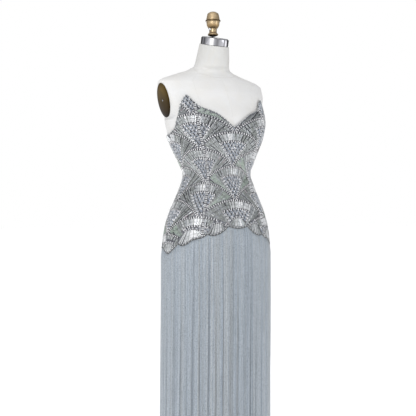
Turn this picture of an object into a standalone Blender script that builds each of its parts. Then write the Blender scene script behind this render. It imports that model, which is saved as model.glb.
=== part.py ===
"""A strapless evening gown on a limbless dress form, in metres, +Z up, with the front towards -Y.

Every cloth wall follows one figure: a stack of oval sections, written in SECTIONS. A place on it is
given by an angle round from the centre front (positive towards the wearer's left, +X), a height, and
how far out from the figure it lies.
"""
import math
from collections import namedtuple

import bmesh
import bpy
from mathutils import Matrix, Vector

MM = 0.001

# The figure, from the hem up: oval sections with their half width, half depth and centre, and the
# slope of the section's plane towards the front, which the neck needs.
Section = namedtuple("Section", "z half_width half_depth centre_y slope")
SECTIONS = (
    Section(0.030, 0.1850, 0.1400, -0.016, 0.000),
    Section(0.400, 0.1822, 0.1390, -0.018, 0.000),
    Section(0.700, 0.1808, 0.1385, -0.022, 0.000),
    Section(0.840, 0.1806, 0.1380, -0.022, 0.000),
    Section(0.870, 0.1780, 0.1360, -0.023, 0.000),
    Section(0.900, 0.1730, 0.1325, -0.024, 0.000),
    Section(0.950, 0.1600, 0.1230, -0.025, 0.000),
    Section(1.000, 0.1400, 0.1090, -0.027, 0.000),
    Section(1.040, 0.1230, 0.0970, -0.027, 0.000),
    Section(1.080, 0.1120, 0.0900, -0.023, 0.000),
    Section(1.120, 0.1255, 0.0980, -0.020, 0.000),
    Section(1.160, 0.1440, 0.1080, -0.016, 0.000),
    Section(1.200, 0.1600, 0.1140, -0.013, 0.000),
    Section(1.250, 0.1710, 0.1150, -0.008, 0.000),
    Section(1.300, 0.1770, 0.1050, 0.001, 0.000),
    Section(1.340, 0.1900, 0.0980, 0.010, 0.000),
    Section(1.370, 0.1900, 0.0840, 0.017, 0.000),
    Section(1.383, 0.1760, 0.0740, 0.019, 0.000),
    Section(1.394, 0.1480, 0.0650, 0.022, 0.000),
    Section(1.405, 0.1170, 0.0580, 0.027, 0.000),
    Section(1.418, 0.0800, 0.0540, 0.026, 0.020),
    Section(1.432, 0.0590, 0.0520, 0.010, 0.060),
    Section(1.460, 0.0535, 0.0525, 0.001, 0.150),
    Section(1.500, 0.0475, 0.0480, -0.008, 0.255),
)

# The bust: two low mounds on the ovals, as the gown's cut gives them on a general figure.
BUST_ANGLE = math.radians(31)
BUST_HEIGHT = 1.238
BUST_RISE = 15 * MM
BUST_SPREAD = math.radians(28)
BUST_SPREAD_UP = 0.062
BUST_SPREAD_DOWN = 0.057
FORM_BUST_SHARE = 0.78

# The armholes: the torso is cut off flat there, leaning in towards the ribs.
ARMHOLE_Z = 1.324
ARMHOLE_X = 0.1725
ARMHOLE_Y = 0.0126
ARMHOLE_LEAN = math.radians(12.5)
ARMHOLE_LOWEST = 1.2585
ARMHOLE_FLARE = 1.9
ARMHOLE_SOFTNESS = 2.5 * MM
# The plates sit a little below and behind the middle of the cuts.
PLATE_DROP = 10 * MM
PLATE_BACK = 5 * MM
PLATE_HALF_HEIGHT = 55.5 * MM
PLATE_HALF_WIDTH = 39 * MM
PLATE_EDGE = 1.6 * MM
PLATE_DOME = 4 * MM

# Gaps between solids that touch on the real thing.
GAP = 0.3 * MM

# The dress form and its stand.
FORM_BOTTOM = 0.795
FORM_TOP = 1.4998
FORM_AROUND = 44
FORM_EDGE_ROUND = 12 * MM
RING_RADIUS = 45.5 * MM
RING_HEIGHT = 22.5 * MM
RING_LIP = 1.2 * MM
NECK_TILT = math.radians(14.3)
NECK_CENTRE_Y = -0.008
CAP_RADIUS = 43 * MM
CAP_HEIGHT = 1.6 * MM
ROD_RADIUS = 5 * MM
FINIAL_BOTTOM = 1.5310
SCREW_RADIUS = 4.8 * MM
SCREW_Z = 1.5510
SCREW_ANGLE = math.radians(205)
STEM_RADIUS = 12.4 * MM
POLE_RADIUS = 16 * MM
COLLAR_RADIUS = 45 * MM
COLLAR_HEIGHT = 10 * MM
BASE_RADIUS = 0.200
BASE_THICK = 12 * MM
BASE_BOSS_RADIUS = 32 * MM
BASE_BOSS_HEIGHT = 34 * MM

# Heights of the finial's turned outline above its foot, with the radius there, in millimetres.
Turn = namedtuple("Turn", "height radius")
FINIAL_TURNS = (
    Turn(0.0, 10.5),
    Turn(2.0, 15.2),
    Turn(4.2, 17.4),
    Turn(7.4, 15.9),
    Turn(10.3, 13.2),
    Turn(13.5, 12.4),
    Turn(22.5, 12.4),
    Turn(24.6, 14.6),
    Turn(27.5, 16.7),
    Turn(32.4, 19.4),
    Turn(40.0, 21.0),
    Turn(46.6, 21.9),
    Turn(48.0, 24.8),
    Turn(51.0, 24.6),
    Turn(52.4, 22.2),
    Turn(55.5, 21.8),
    Turn(61.0, 20.7),
    Turn(66.0, 19.7),
    Turn(71.0, 18.5),
    Turn(73.6, 16.8),
    Turn(76.0, 12.8),
    Turn(78.4, 8.2),
    Turn(80.0, 0.0),
)

# The bodice. The wall's distance from the figure changes with height: snug at the waist, and out over
# the underskirt's top at the hips.
Stand = namedtuple("Stand", "z out")
BODICE_STAND = (
    Stand(0.82, 2.5 * MM),
    Stand(0.94, 2.5 * MM),
    Stand(1.00, 1.5 * MM),
    Stand(1.06, 1.2 * MM),
    Stand(1.12, 1.4 * MM),
    Stand(1.18, 2.3 * MM),
    Stand(1.24, 2.8 * MM),
    Stand(1.34, 3.0 * MM),
)
BODICE_THICK = 1.6 * MM
BODICE_ROWS = (0.0, 0.045, 0.13, 0.22, 0.31, 0.40, 0.49, 0.57, 0.65, 0.73, 0.81, 0.90, 1.0)
COLUMN_ANGLE = math.radians(5.625)

# The top edge from the centre front round to the centre back: the V notch, the two peaks, the dip
# under the arms and the low back.
Edge = namedtuple("Edge", "degrees z")
TOP_EDGE = (
    Edge(0, 1.226),
    Edge(4, 1.234),
    Edge(11, 1.251),
    Edge(19, 1.269),
    Edge(26, 1.278),
    Edge(34, 1.288),
    Edge(40, 1.305),
    Edge(45, 1.325),
    Edge(51, 1.313),
    Edge(57, 1.296),
    Edge(62, 1.270),
    Edge(67, 1.248),
    Edge(74, 1.223),
    Edge(79, 1.217),
    Edge(92, 1.206),
    Edge(180, 1.200),
)

# The lower edge's heights at each of the bodice's columns, from the centre front round to the centre
# back: a row of shallow lobes that meet in points, lowest just in front of the side seam.
LOWER_EDGE = (
    0.907, 0.909, 0.914, 0.899, 0.889, 0.885, 0.889, 0.879,
    0.875, 0.870, 0.859, 0.854, 0.859, 0.846, 0.835, 0.828,
    0.833, 0.841, 0.849, 0.844, 0.844, 0.850, 0.861, 0.857,
    0.860, 0.867, 0.880, 0.877, 0.880, 0.888, 0.901, 0.899,
    0.901,
)

PRINCESS_SEAM = 7 * COLUMN_ANGLE
SIDE_SEAM = math.radians(90)
CENTRE_BACK = math.radians(180)

# The centre-back zip, between the two back panels.
ZIP_SLOT = 7.0 * MM
ZIP_WIDTH = 6.4 * MM
ZIP_THICK = 1.2 * MM
ZIP_ROWS = 14
ZIP_END_GAP = 2 * MM
SLIDER_DROP = 15 * MM
SLIDER_WIDTH = 6.0 * MM
SLIDER_HEIGHT = 10.0 * MM
SLIDER_THICK = 1.8 * MM
LUG_GAP = 2.6 * MM
LUG_WIDTH = 0.9 * MM
LUG_LENGTH = 2.6 * MM
PIN_RADIUS = 0.45 * MM
PIN_HEIGHT = 1.75 * MM
EYE_BORE = 0.8 * MM
EYE_RADIUS = 1.4 * MM
EYE_WIDTH = 2.0 * MM
TAB_THICK = 1.0 * MM
TAB_NECK = 3.0 * MM
TAB_WIDTH = 4.6 * MM
TAB_LENGTH = 20.0 * MM

# The underskirt, which hangs inside the bodice's lower edge.
SKIRT_OUT = 0.7 * MM
SKIRT_THICK = 1.3 * MM
SKIRT_OVERLAP = 14 * MM
SKIRT_HEM = 0.042
SKIRT_AROUND = 22
SKIRT_HEIGHTS = (0.320, 0.600, 0.835, 0.860, 0.880)
SKIRT_ROW_DROP = 9 * MM

# The fringe: strands under a narrow strip, which lies right below the bodice's edge.
STRANDS_EACH = 64
STRIP_HEIGHT = 8 * MM
STRIP_DROP = 0.5 * MM
STRIP_OUT = 2.6 * MM
STRIP_THICK = 1.8 * MM
FRINGE_END = 0.030
FRINGE_END_RISE = 3 * MM
FRINGE_HANG_OUT = 4.0 * MM
FRINGE_BENDS = (0.885, 0.862, 0.838)
BEND_CLEARANCE = 5 * MM


def smooth_curve(points):
    """A smooth function through (x, y) points that never swings past them, level beyond both ends."""
    xs = [point[0] for point in points]
    ys = [point[1] for point in points]
    rises = [(ys[i + 1] - ys[i]) / (xs[i + 1] - xs[i]) for i in range(len(xs) - 1)]
    slopes = [rises[0]]
    for before, after in zip(rises, rises[1:]):
        turning = before * after <= 0
        slopes.append(0.0 if turning else 2 * before * after / (before + after))
    slopes.append(rises[-1])

    def value(x):
        x = min(max(x, xs[0]), xs[-1])
        i = 0
        while i < len(xs) - 2 and x > xs[i + 1]:
            i += 1
        step = xs[i + 1] - xs[i]
        u = (x - xs[i]) / step
        start = ys[i] * (1 + 2 * u) * (1 - u) ** 2 + slopes[i] * step * u * (1 - u) ** 2
        end = ys[i + 1] * u * u * (3 - 2 * u) - slopes[i + 1] * step * u * u * (1 - u)
        return start + end

    return value


half_width_at = smooth_curve([(s.z, s.half_width) for s in SECTIONS])
half_depth_at = smooth_curve([(s.z, s.half_depth) for s in SECTIONS])
centre_y_at = smooth_curve([(s.z, s.centre_y) for s in SECTIONS])
slope_at = smooth_curve([(s.z, s.slope) for s in SECTIONS])
bodice_out_at = smooth_curve(BODICE_STAND)
top_edge_at = smooth_curve(TOP_EDGE)


def from_front(angle):
    """How far round from the centre front an angle lies, from 0 to pi, on either side."""
    return abs(math.remainder(angle, math.tau))


def bust_rise(angle, z):
    """How far the bust stands out from the oval."""
    away = (from_front(angle) - BUST_ANGLE) / BUST_SPREAD
    spread = BUST_SPREAD_UP if z > BUST_HEIGHT else BUST_SPREAD_DOWN
    up = (z - BUST_HEIGHT) / spread
    return BUST_RISE * math.exp(-away * away - up * up)


def armhole_limit(z):
    """The widest that the figure reaches to each side, where the armhole cuts it flat."""
    above = max(z, ARMHOLE_LOWEST) - ARMHOLE_Z
    below = max(0.0, ARMHOLE_LOWEST - z)
    return ARMHOLE_X + above * math.tan(ARMHOLE_LEAN) + below * ARMHOLE_FLARE


def figure_point(angle, z, out=0.0, bust_share=1.0):
    """A point at a distance out from the figure; the form under the cups has a smaller bust than they do."""
    grow = bust_rise(angle, z) * bust_share + out
    x = (half_width_at(z) + grow) * math.sin(angle)
    y = centre_y_at(z) - (half_depth_at(z) + grow) * math.cos(angle)
    room = (armhole_limit(z) + out - abs(x)) / ARMHOLE_SOFTNESS
    if room < 30:
        shy = ARMHOLE_SOFTNESS * math.log1p(math.exp(room))
        x = math.copysign(armhole_limit(z) + out - shy, x)
    tilt = slope_at(z) * (y - centre_y_at(z))
    return Vector((x, y, z + tilt))


def girth_radius(z):
    """A mean radius, to turn a length round the figure into an angle."""
    return (half_width_at(z) + half_depth_at(z)) / 2


def top_edge(angle):
    return top_edge_at(math.degrees(from_front(angle)))


def lower_edge(angle):
    """The lower edge's height, straight from one of the bodice's columns to the next."""
    place = from_front(angle) / COLUMN_ANGLE
    column = min(int(place + 1e-6), len(LOWER_EDGE) - 2)
    start = LOWER_EDGE[column]
    return start + (LOWER_EDGE[column + 1] - start) * (place - column)


def material(name, colour, roughness, metallic=0.0):
    made = bpy.data.materials.new(name)
    made.use_nodes = True
    shader = made.node_tree.nodes["Principled BSDF"]
    shader.inputs["Base Color"].default_value = (*colour, 1.0)
    shader.inputs["Roughness"].default_value = roughness
    shader.inputs["Metallic"].default_value = metallic
    return made


def canvas():
    return material("canvas", (0.78, 0.78, 0.76), 0.9)


def beaded_cloth():
    return material("beaded_cloth", (0.42, 0.44, 0.46), 0.45)


def lining_cloth():
    return material("lining_cloth", (0.45, 0.48, 0.52), 0.6)


def fringe_beads():
    return material("fringe_beads", (0.50, 0.54, 0.58), 0.35)


def chrome():
    return material("chrome", (0.80, 0.80, 0.82), 0.12, 1.0)


def brass():
    return material("brass", (0.62, 0.47, 0.25), 0.3, 1.0)


def bronze():
    return material("bronze", (0.20, 0.15, 0.09), 0.35, 0.8)


def dark_steel():
    return material("dark_steel", (0.12, 0.12, 0.13), 0.4, 0.9)


def finish(name, mesh, surface, smooth_angle=40):
    """Put a mesh into the scene as a named object with its own material."""
    mesh.materials.append(surface)
    mesh.shade_smooth()
    mesh.set_sharp_from_angle(angle=math.radians(smooth_angle))
    made = bpy.data.objects.new(name, mesh)
    bpy.context.scene.collection.objects.link(made)
    return made


def mesh_from(bm, name):
    bmesh.ops.recalc_face_normals(bm, faces=bm.faces)
    mesh = bpy.data.meshes.new(name)
    bm.to_mesh(mesh)
    bm.free()
    return mesh


def bridge(bm, lower, upper, closed=True):
    """Faces between two rows of points."""
    count = len(lower)
    last = count if closed else count - 1
    for i in range(last):
        j = (i + 1) % count
        bm.faces.new((lower[i], lower[j], upper[j], upper[i]))


def closed_stack(name, rings, surface, smooth_angle=40):
    """A solid through a stack of rings of points, each end closed by one flat face."""
    bm = bmesh.new()
    rows = [[bm.verts.new(point) for point in ring] for ring in rings]
    for lower, upper in zip(rows, rows[1:]):
        bridge(bm, lower, upper)
    bm.faces.new(list(reversed(rows[0])))
    bm.faces.new(rows[-1])
    return finish(name, mesh_from(bm, name), surface, smooth_angle)


def turned(name, outline, surface, steps=24, smooth_angle=40):
    """A solid turned round Z from an outline of (radius, height), bottom to top, shut at both ends."""
    bm = bmesh.new()
    rows = []
    for radius, height in outline:
        around = 1 if radius == 0 else steps
        row = []
        for i in range(around):
            angle = math.tau * i / steps
            row.append(bm.verts.new((radius * math.cos(angle), radius * math.sin(angle), height)))
        rows.append(row)
    for lower, upper in zip(rows, rows[1:]):
        if len(upper) == 1:
            for i in range(steps):
                bm.faces.new((lower[i], lower[(i + 1) % steps], upper[0]))
        elif len(lower) == 1:
            for i in range(steps):
                bm.faces.new((lower[0], upper[(i + 1) % steps], upper[i]))
        else:
            bridge(bm, lower, upper)
    if len(rows[0]) > 1:
        bm.faces.new(list(reversed(rows[0])))
    if len(rows[-1]) > 1:
        bm.faces.new(rows[-1])
    return finish(name, mesh_from(bm, name), surface, smooth_angle)


def wall_solid(name, inner, outer, surface):
    """A thin wall between two grids of points, grid[row][column], shut along its four edges."""
    bm = bmesh.new()
    inside = [[bm.verts.new(point) for point in row] for row in inner]
    outside = [[bm.verts.new(point) for point in row] for row in outer]
    for grid in (inside, outside):
        for lower, upper in zip(grid, grid[1:]):
            bridge(bm, lower, upper, closed=False)
    bridge(bm, inside[0], outside[0], closed=False)
    bridge(bm, inside[-1], outside[-1], closed=False)
    for column in (0, -1):
        bridge(bm, [row[column] for row in inside], [row[column] for row in outside], closed=False)
    return finish(name, mesh_from(bm, name), surface)


def form_heights():
    """Heights of the torso's rings: closer together where the waist and the shoulders curve most."""
    hips = [FORM_BOTTOM, 0.825, 0.855, 0.885, 0.915, 0.945, 0.975]
    waist = [1.000 + 0.020 * i for i in range(9)]
    chest = [1.185, 1.210, 1.238, ARMHOLE_LOWEST, 1.290, 1.318, 1.345, 1.362, 1.372]
    shoulder = [1.380, 1.388, 1.396, 1.404, 1.412, 1.422, 1.436]
    neck = [1.456, 1.478, FORM_TOP]
    return hips + waist + chest + shoulder + neck


def form_torso():
    """The canvas body, with its bottom edge rounded in."""
    angles = [math.tau * i / FORM_AROUND for i in range(FORM_AROUND)]
    rings = [[figure_point(angle, FORM_BOTTOM, -FORM_EDGE_ROUND) for angle in angles]]
    for z in form_heights():
        bottom = z == FORM_BOTTOM
        height = z + FORM_EDGE_ROUND / 2 if bottom else z
        rings.append([figure_point(angle, height, 0.0, FORM_BUST_SHARE) for angle in angles])
    closed_stack("form_torso", rings, canvas(), 60)


def neck_frame(rise):
    """A frame on the neck's tilted axis, at a rise above the torso's top."""
    tilt = Matrix.Rotation(NECK_TILT, 4, "X")
    seat = Matrix.Translation((0, NECK_CENTRE_Y, FORM_TOP))
    return seat @ tilt @ Matrix.Translation((0, 0, rise))


def neck_ring():
    lip = RING_LIP
    outline = (
        (RING_RADIUS - lip, 0.0),
        (RING_RADIUS, lip),
        (RING_RADIUS, RING_HEIGHT - lip),
        (RING_RADIUS - lip, RING_HEIGHT),
    )
    ring = turned("neck_ring", outline, chrome(), 40)
    ring.matrix_world = neck_frame(GAP)
    foot = GAP + RING_HEIGHT + GAP
    cap_outline = (
        (CAP_RADIUS, 0.0),
        (CAP_RADIUS, CAP_HEIGHT / 2),
        (CAP_RADIUS - CAP_HEIGHT, CAP_HEIGHT),
    )
    cap = turned("neck_cap", cap_outline, dark_steel(), 32)
    cap.matrix_world = neck_frame(foot)
    return neck_frame(foot + CAP_HEIGHT)


def finial(cap_top):
    """The rod, the turned knob above it and the knob's set screw, upright on the pole's axis."""
    seat = cap_top.translation
    rod_foot = seat.z + GAP + (ROD_RADIUS - seat.y) * math.tan(NECK_TILT)
    turned("finial_rod", ((ROD_RADIUS, rod_foot), (ROD_RADIUS, FINIAL_BOTTOM - GAP)), dark_steel(), 16)
    outline = [(turn.radius * MM, FINIAL_BOTTOM + turn.height * MM) for turn in FINIAL_TURNS]
    turned("neck_finial", outline, brass(), 20)
    reach = STEM_RADIUS + GAP + SCREW_RADIUS
    bm = bmesh.new()
    bmesh.ops.create_icosphere(bm, subdivisions=2, radius=SCREW_RADIUS)
    screw = finish("finial_screw", mesh_from(bm, "finial_screw"), chrome(), 60)
    screw.location = (reach * math.cos(SCREW_ANGLE), reach * math.sin(SCREW_ANGLE), SCREW_Z)


def arm_plate(name, side):
    """An oval plate, domed outwards, that covers an armhole; side is -1 for the wearer's right."""
    rims = ((1.0, 0.0), (1.0, PLATE_EDGE), (0.93, PLATE_EDGE + 0.8 * MM), (0.7, PLATE_DOME - 0.7 * MM),
            (0.4, PLATE_DOME))
    steps = 28
    rings = []
    for share, height in rims:
        ring = []
        for i in range(steps):
            angle = math.tau * i / steps
            across = PLATE_HALF_WIDTH * share * math.cos(angle)
            up = PLATE_HALF_HEIGHT * share * math.sin(angle)
            ring.append(Vector((across, up, height)))
        rings.append(ring)
    plate = closed_stack(name, rings, bronze(), 50)
    outward = Vector((side * math.cos(ARMHOLE_LEAN), 0, -math.sin(ARMHOLE_LEAN)))
    upward = Vector((side * math.sin(ARMHOLE_LEAN), 0, math.cos(ARMHOLE_LEAN)))
    across = upward.cross(outward)
    turn = Matrix((across, upward, outward)).transposed().to_4x4()
    middle = Vector((side * ARMHOLE_X, ARMHOLE_Y + PLATE_BACK, ARMHOLE_Z))
    centre = middle + outward * GAP - upward * PLATE_DROP
    plate.matrix_world = Matrix.Translation(centre) @ turn


def stand():
    """The plain stand: a collar under the torso, a pole, and a round base with a boss."""
    collar_foot = FORM_BOTTOM - GAP - COLLAR_HEIGHT
    collar_outline = ((COLLAR_RADIUS, collar_foot), (COLLAR_RADIUS, FORM_BOTTOM - GAP))
    turned("stand_collar", collar_outline, dark_steel(), 32)
    pole_outline = ((POLE_RADIUS, BASE_BOSS_HEIGHT + GAP), (POLE_RADIUS, collar_foot - GAP))
    turned("stand_pole", pole_outline, dark_steel(), 20)
    base_outline = (
        (BASE_RADIUS - 1.5 * MM, 0.0),
        (BASE_RADIUS, 1.5 * MM),
        (BASE_RADIUS, BASE_THICK - 5 * MM),
        (BASE_RADIUS - 4 * MM, BASE_THICK - 1 * MM),
        (BASE_BOSS_RADIUS + 6 * MM, BASE_THICK + 2 * MM),
        (BASE_BOSS_RADIUS, BASE_THICK + 8 * MM),
        (POLE_RADIUS + 5 * MM, BASE_BOSS_HEIGHT),
    )
    turned("stand_base", base_outline, dark_steel(), 48)


def seam_angles(first, last, columns, z, first_gap=GAP / 2, last_gap=GAP / 2):
    """Angles across a panel at a height, with only its two edges moved in, off the lines of its seams."""
    angles = [first + (last - first) * column / columns for column in range(columns + 1)]
    angles[0] += first_gap / girth_radius(z)
    angles[-1] -= last_gap / girth_radius(z)
    return angles


def bodice_panel(name, first, last, first_gap=GAP / 2, last_gap=GAP / 2):
    """One panel of the bodice; each gap is how far its edge keeps from the line of its seam."""
    columns = round((last - first) / COLUMN_ANGLE)
    inner = []
    outer = []
    for share in BODICE_ROWS:
        level = lower_edge(first) + (top_edge(first) - lower_edge(first)) * share
        near = []
        far = []
        for angle in seam_angles(first, last, columns, level, first_gap, last_gap):
            z = lower_edge(angle) + (top_edge(angle) - lower_edge(angle)) * share
            near.append(figure_point(angle, z, bodice_out_at(z)))
            far.append(figure_point(angle, z, bodice_out_at(z) + BODICE_THICK))
        inner.append(near)
        outer.append(far)
    wall_solid(name, inner, outer, beaded_cloth())


def bodice():
    bodice_panel("bodice_front_centre", -PRINCESS_SEAM, PRINCESS_SEAM)
    bodice_panel("bodice_front_left", PRINCESS_SEAM, SIDE_SEAM)
    bodice_panel("bodice_front_right", -SIDE_SEAM, -PRINCESS_SEAM)
    bodice_panel("bodice_back_left", SIDE_SEAM, CENTRE_BACK, last_gap=ZIP_SLOT / 2)
    bodice_panel("bodice_back_right", -CENTRE_BACK, -SIDE_SEAM, first_gap=ZIP_SLOT / 2)


def zip_chain():
    """The closed zip as one ribbon down the centre back."""
    low = lower_edge(CENTRE_BACK) + ZIP_END_GAP
    high = top_edge(CENTRE_BACK) - ZIP_END_GAP
    inner = []
    outer = []
    for row in range(ZIP_ROWS + 1):
        z = low + (high - low) * row / ZIP_ROWS
        out = bodice_out_at(z)
        near = figure_point(CENTRE_BACK, z, out)
        far = figure_point(CENTRE_BACK, z, out + ZIP_THICK)
        sides = (-ZIP_WIDTH / 2, ZIP_WIDTH / 2)
        inner.append([Vector((x, near.y, near.z)) for x in sides])
        outer.append([Vector((x, far.y, far.z)) for x in sides])
    wall_solid("zip_chain", inner, outer, material("zip_tape", (0.40, 0.42, 0.45), 0.6))


def zip_frame():
    """The slider's frame on the zip: X across, Y up along the chain, Z out from it."""
    z = top_edge(CENTRE_BACK) - SLIDER_DROP
    reach = SLIDER_HEIGHT
    below = figure_point(CENTRE_BACK, z - reach, bodice_out_at(z - reach) + ZIP_THICK)
    above = figure_point(CENTRE_BACK, z + reach, bodice_out_at(z + reach) + ZIP_THICK)
    upward = (above - below).normalized()
    across = Vector((-1, 0, 0))
    outward = across.cross(upward)
    turn = Matrix((across, upward, outward)).transposed().to_4x4()
    seat = (above + below) / 2 + outward * 2 * GAP
    return Matrix.Translation(seat) @ turn


def block(name, width, low, high, bottom, top, surface):
    """A box across X, from low to high in Y and from bottom to top in Z."""
    corners = ((low, bottom), (high, bottom), (high, top), (low, top))
    bm = bmesh.new()
    sides = [[bm.verts.new((x, y, z)) for y, z in corners] for x in (-width / 2, width / 2)]
    bridge(bm, sides[0], sides[1])
    bm.faces.new(list(reversed(sides[0])))
    bm.faces.new(sides[1])
    return finish(name, mesh_from(bm, name), surface)


def cross_pin(name, radius, width, height, surface, steps=16):
    """A round bar across X, at a height."""
    bar = turned(name, ((radius, -width / 2), (radius, width / 2)), surface, steps)
    bar.data.transform(Matrix.Translation((0, 0, height)) @ Matrix.Rotation(math.pi / 2, 4, "Y"))
    return bar


def join_by(target, tool, operation):
    """Unite or cut with a Boolean, and keep the tool as a hidden guide."""
    change = target.modifiers.new(tool.name, "BOOLEAN")
    change.operation = operation
    change.object = tool
    tool.hide_render = True
    tool.display_type = "WIRE"


def zip_slider():
    """The slider: a plate on the chain with two lugs and a cross pin for the pull tab."""
    frame = zip_frame()
    metal = material("zip_metal", (0.70, 0.70, 0.72), 0.3, 1.0)
    plate = block("zip_slider", SLIDER_WIDTH, -SLIDER_HEIGHT / 2, SLIDER_HEIGHT / 2, 0, SLIDER_THICK, metal)
    pin_z = SLIDER_THICK + PIN_HEIGHT
    tools = []
    for side in (-1, 1):
        lug = block(f"lug_{side}", LUG_WIDTH, -LUG_LENGTH / 2, LUG_LENGTH / 2, SLIDER_THICK / 2,
                    pin_z + EYE_BORE + LUG_WIDTH / 2, metal)
        lug.data.transform(Matrix.Translation((side * (LUG_GAP + LUG_WIDTH) / 2, 0, 0)))
        tools.append(lug)
    tools.append(cross_pin("pin", PIN_RADIUS, LUG_GAP + LUG_WIDTH, pin_z, metal))
    plate.matrix_world = frame
    for tool in tools:
        tool.matrix_world = frame
        join_by(plate, tool, "UNION")


def zip_pull():
    """The pull tab, with its origin on the pin that it swings on."""
    hinge = zip_frame() @ Matrix.Translation((0, 0, SLIDER_THICK + PIN_HEIGHT))
    metal = material("pull_metal", (0.70, 0.70, 0.72), 0.3, 1.0)
    eye = cross_pin("zip_pull", EYE_RADIUS, EYE_WIDTH, 0, metal)
    bm = bmesh.new()
    outline = (
        (EYE_WIDTH / 2, -EYE_RADIUS * 0.75),
        (EYE_WIDTH / 2, -TAB_NECK),
        (TAB_WIDTH / 2, -TAB_NECK - 2 * MM),
        (TAB_WIDTH / 2, -TAB_LENGTH + 1.5 * MM),
        (TAB_WIDTH / 3, -TAB_LENGTH),
    )
    right = [(x, y) for x, y in outline]
    left = [(-x, y) for x, y in reversed(outline)]
    faces = [[bm.verts.new((x, y, z)) for x, y in right + left] for z in (-TAB_THICK / 2, TAB_THICK / 2)]
    bridge(bm, faces[0], faces[1])
    bm.faces.new(list(reversed(faces[0])))
    bm.faces.new(faces[1])
    tab = finish("tab", mesh_from(bm, "tab"), metal)
    bore = cross_pin("eye_bore", EYE_BORE, EYE_WIDTH * 2, 0, metal)
    for made in (eye, tab, bore):
        made.matrix_world = hinge
    join_by(eye, tab, "UNION")
    join_by(eye, bore, "DIFFERENCE")


def skirt_heights(angle):
    """Heights of the underskirt's points at an angle, from the hem up to behind the bodice's edge."""
    top = lower_edge(angle) + SKIRT_OVERLAP
    steps = len(SKIRT_HEIGHTS)
    below = [min(z, top - SKIRT_ROW_DROP * (steps - i)) for i, z in enumerate(SKIRT_HEIGHTS)]
    return [SKIRT_HEM] + below + [top]


def underskirt_half(name, first, last):
    """Half of the underskirt, from the hem to behind the bodice's lower edge."""
    inner = []
    outer = []
    for row in range(len(SKIRT_HEIGHTS) + 2):
        near = []
        far = []
        for angle in seam_angles(first, last, SKIRT_AROUND, SKIRT_HEM):
            z = skirt_heights(angle)[row]
            near.append(figure_point(angle, z, SKIRT_OUT))
            far.append(figure_point(angle, z, SKIRT_OUT + SKIRT_THICK))
        inner.append(near)
        outer.append(far)
    wall_solid(name, inner, outer, lining_cloth())


def fringe_half(name, first, last):
    """A strip that follows the bodice's edge, with every second stretch of its foot let down as a strand."""
    columns = 2 * STRANDS_EACH
    angles = seam_angles(first, last, columns, SKIRT_HEM)
    bm = bmesh.new()

    def pair(column, z, out):
        near = figure_point(angles[column], z, out)
        far = figure_point(angles[column], z, out + STRIP_THICK)
        return bm.verts.new(near), bm.verts.new(far)

    tops = []
    feet = []
    for column in range(columns + 1):
        edge = lower_edge(angles[column]) - STRIP_DROP
        tops.append(pair(column, edge, STRIP_OUT))
        feet.append(pair(column, edge - STRIP_HEIGHT, STRIP_OUT))
    for column in range(columns):
        here = (tops[column], feet[column])
        there = (tops[column + 1], feet[column + 1])
        for side in (0, 1):
            bm.faces.new((here[0][side], there[0][side], there[1][side], here[1][side]))
        bm.faces.new((here[0][0], there[0][0], there[0][1], here[0][1]))
        if column % 2:
            bm.faces.new((here[1][0], there[1][0], there[1][1], here[1][1]))
            continue
        ring = [here[1][0], there[1][0], there[1][1], here[1][1]]
        root_z = min(point.co.z for point in ring)
        end_z = FRINGE_END + FRINGE_END_RISE * (column // 2 % 3)
        bends = [z for z in FRINGE_BENDS if z < root_z - BEND_CLEARANCE]
        for z in bends + [end_z]:
            left = pair(column, z, FRINGE_HANG_OUT)
            right = pair(column + 1, z, FRINGE_HANG_OUT)
            following = [left[0], right[0], right[1], left[1]]
            bridge(bm, ring, following)
            ring = following
        bm.faces.new(ring)
    for end in (0, columns):
        bm.faces.new((tops[end][0], tops[end][1], feet[end][1], feet[end][0]))
    finish(name, mesh_from(bm, name), fringe_beads())


def main():
    for old in list(bpy.data.objects):
        bpy.data.objects.remove(old, do_unlink=True)
    form_torso()
    cap_top = neck_ring()
    finial(cap_top)
    arm_plate("arm_plate_right", -1)
    arm_plate("arm_plate_left", 1)
    stand()
    bodice()
    zip_chain()
    zip_slider()
    zip_pull()
    underskirt_half("underskirt_front", -SIDE_SEAM, SIDE_SEAM)
    underskirt_half("underskirt_back", SIDE_SEAM, SIDE_SEAM + math.pi)
    fringe_half("fringe_front", -SIDE_SEAM, SIDE_SEAM)
    fringe_half("fringe_back", SIDE_SEAM, SIDE_SEAM + math.pi)


main()
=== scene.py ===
"""The looks of a strapless beaded evening gown on a limbless dress form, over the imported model.

Metres, +Z up, the front towards -Y. The gown and the form follow the same figure as the solids: a stack
of oval sections, where a place is an angle round from the centre front, a height, and how far out it lies.
"""

import math
from collections import namedtuple

import bmesh
import bpy
import numpy as np
from mathutils import Matrix, Vector


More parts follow.
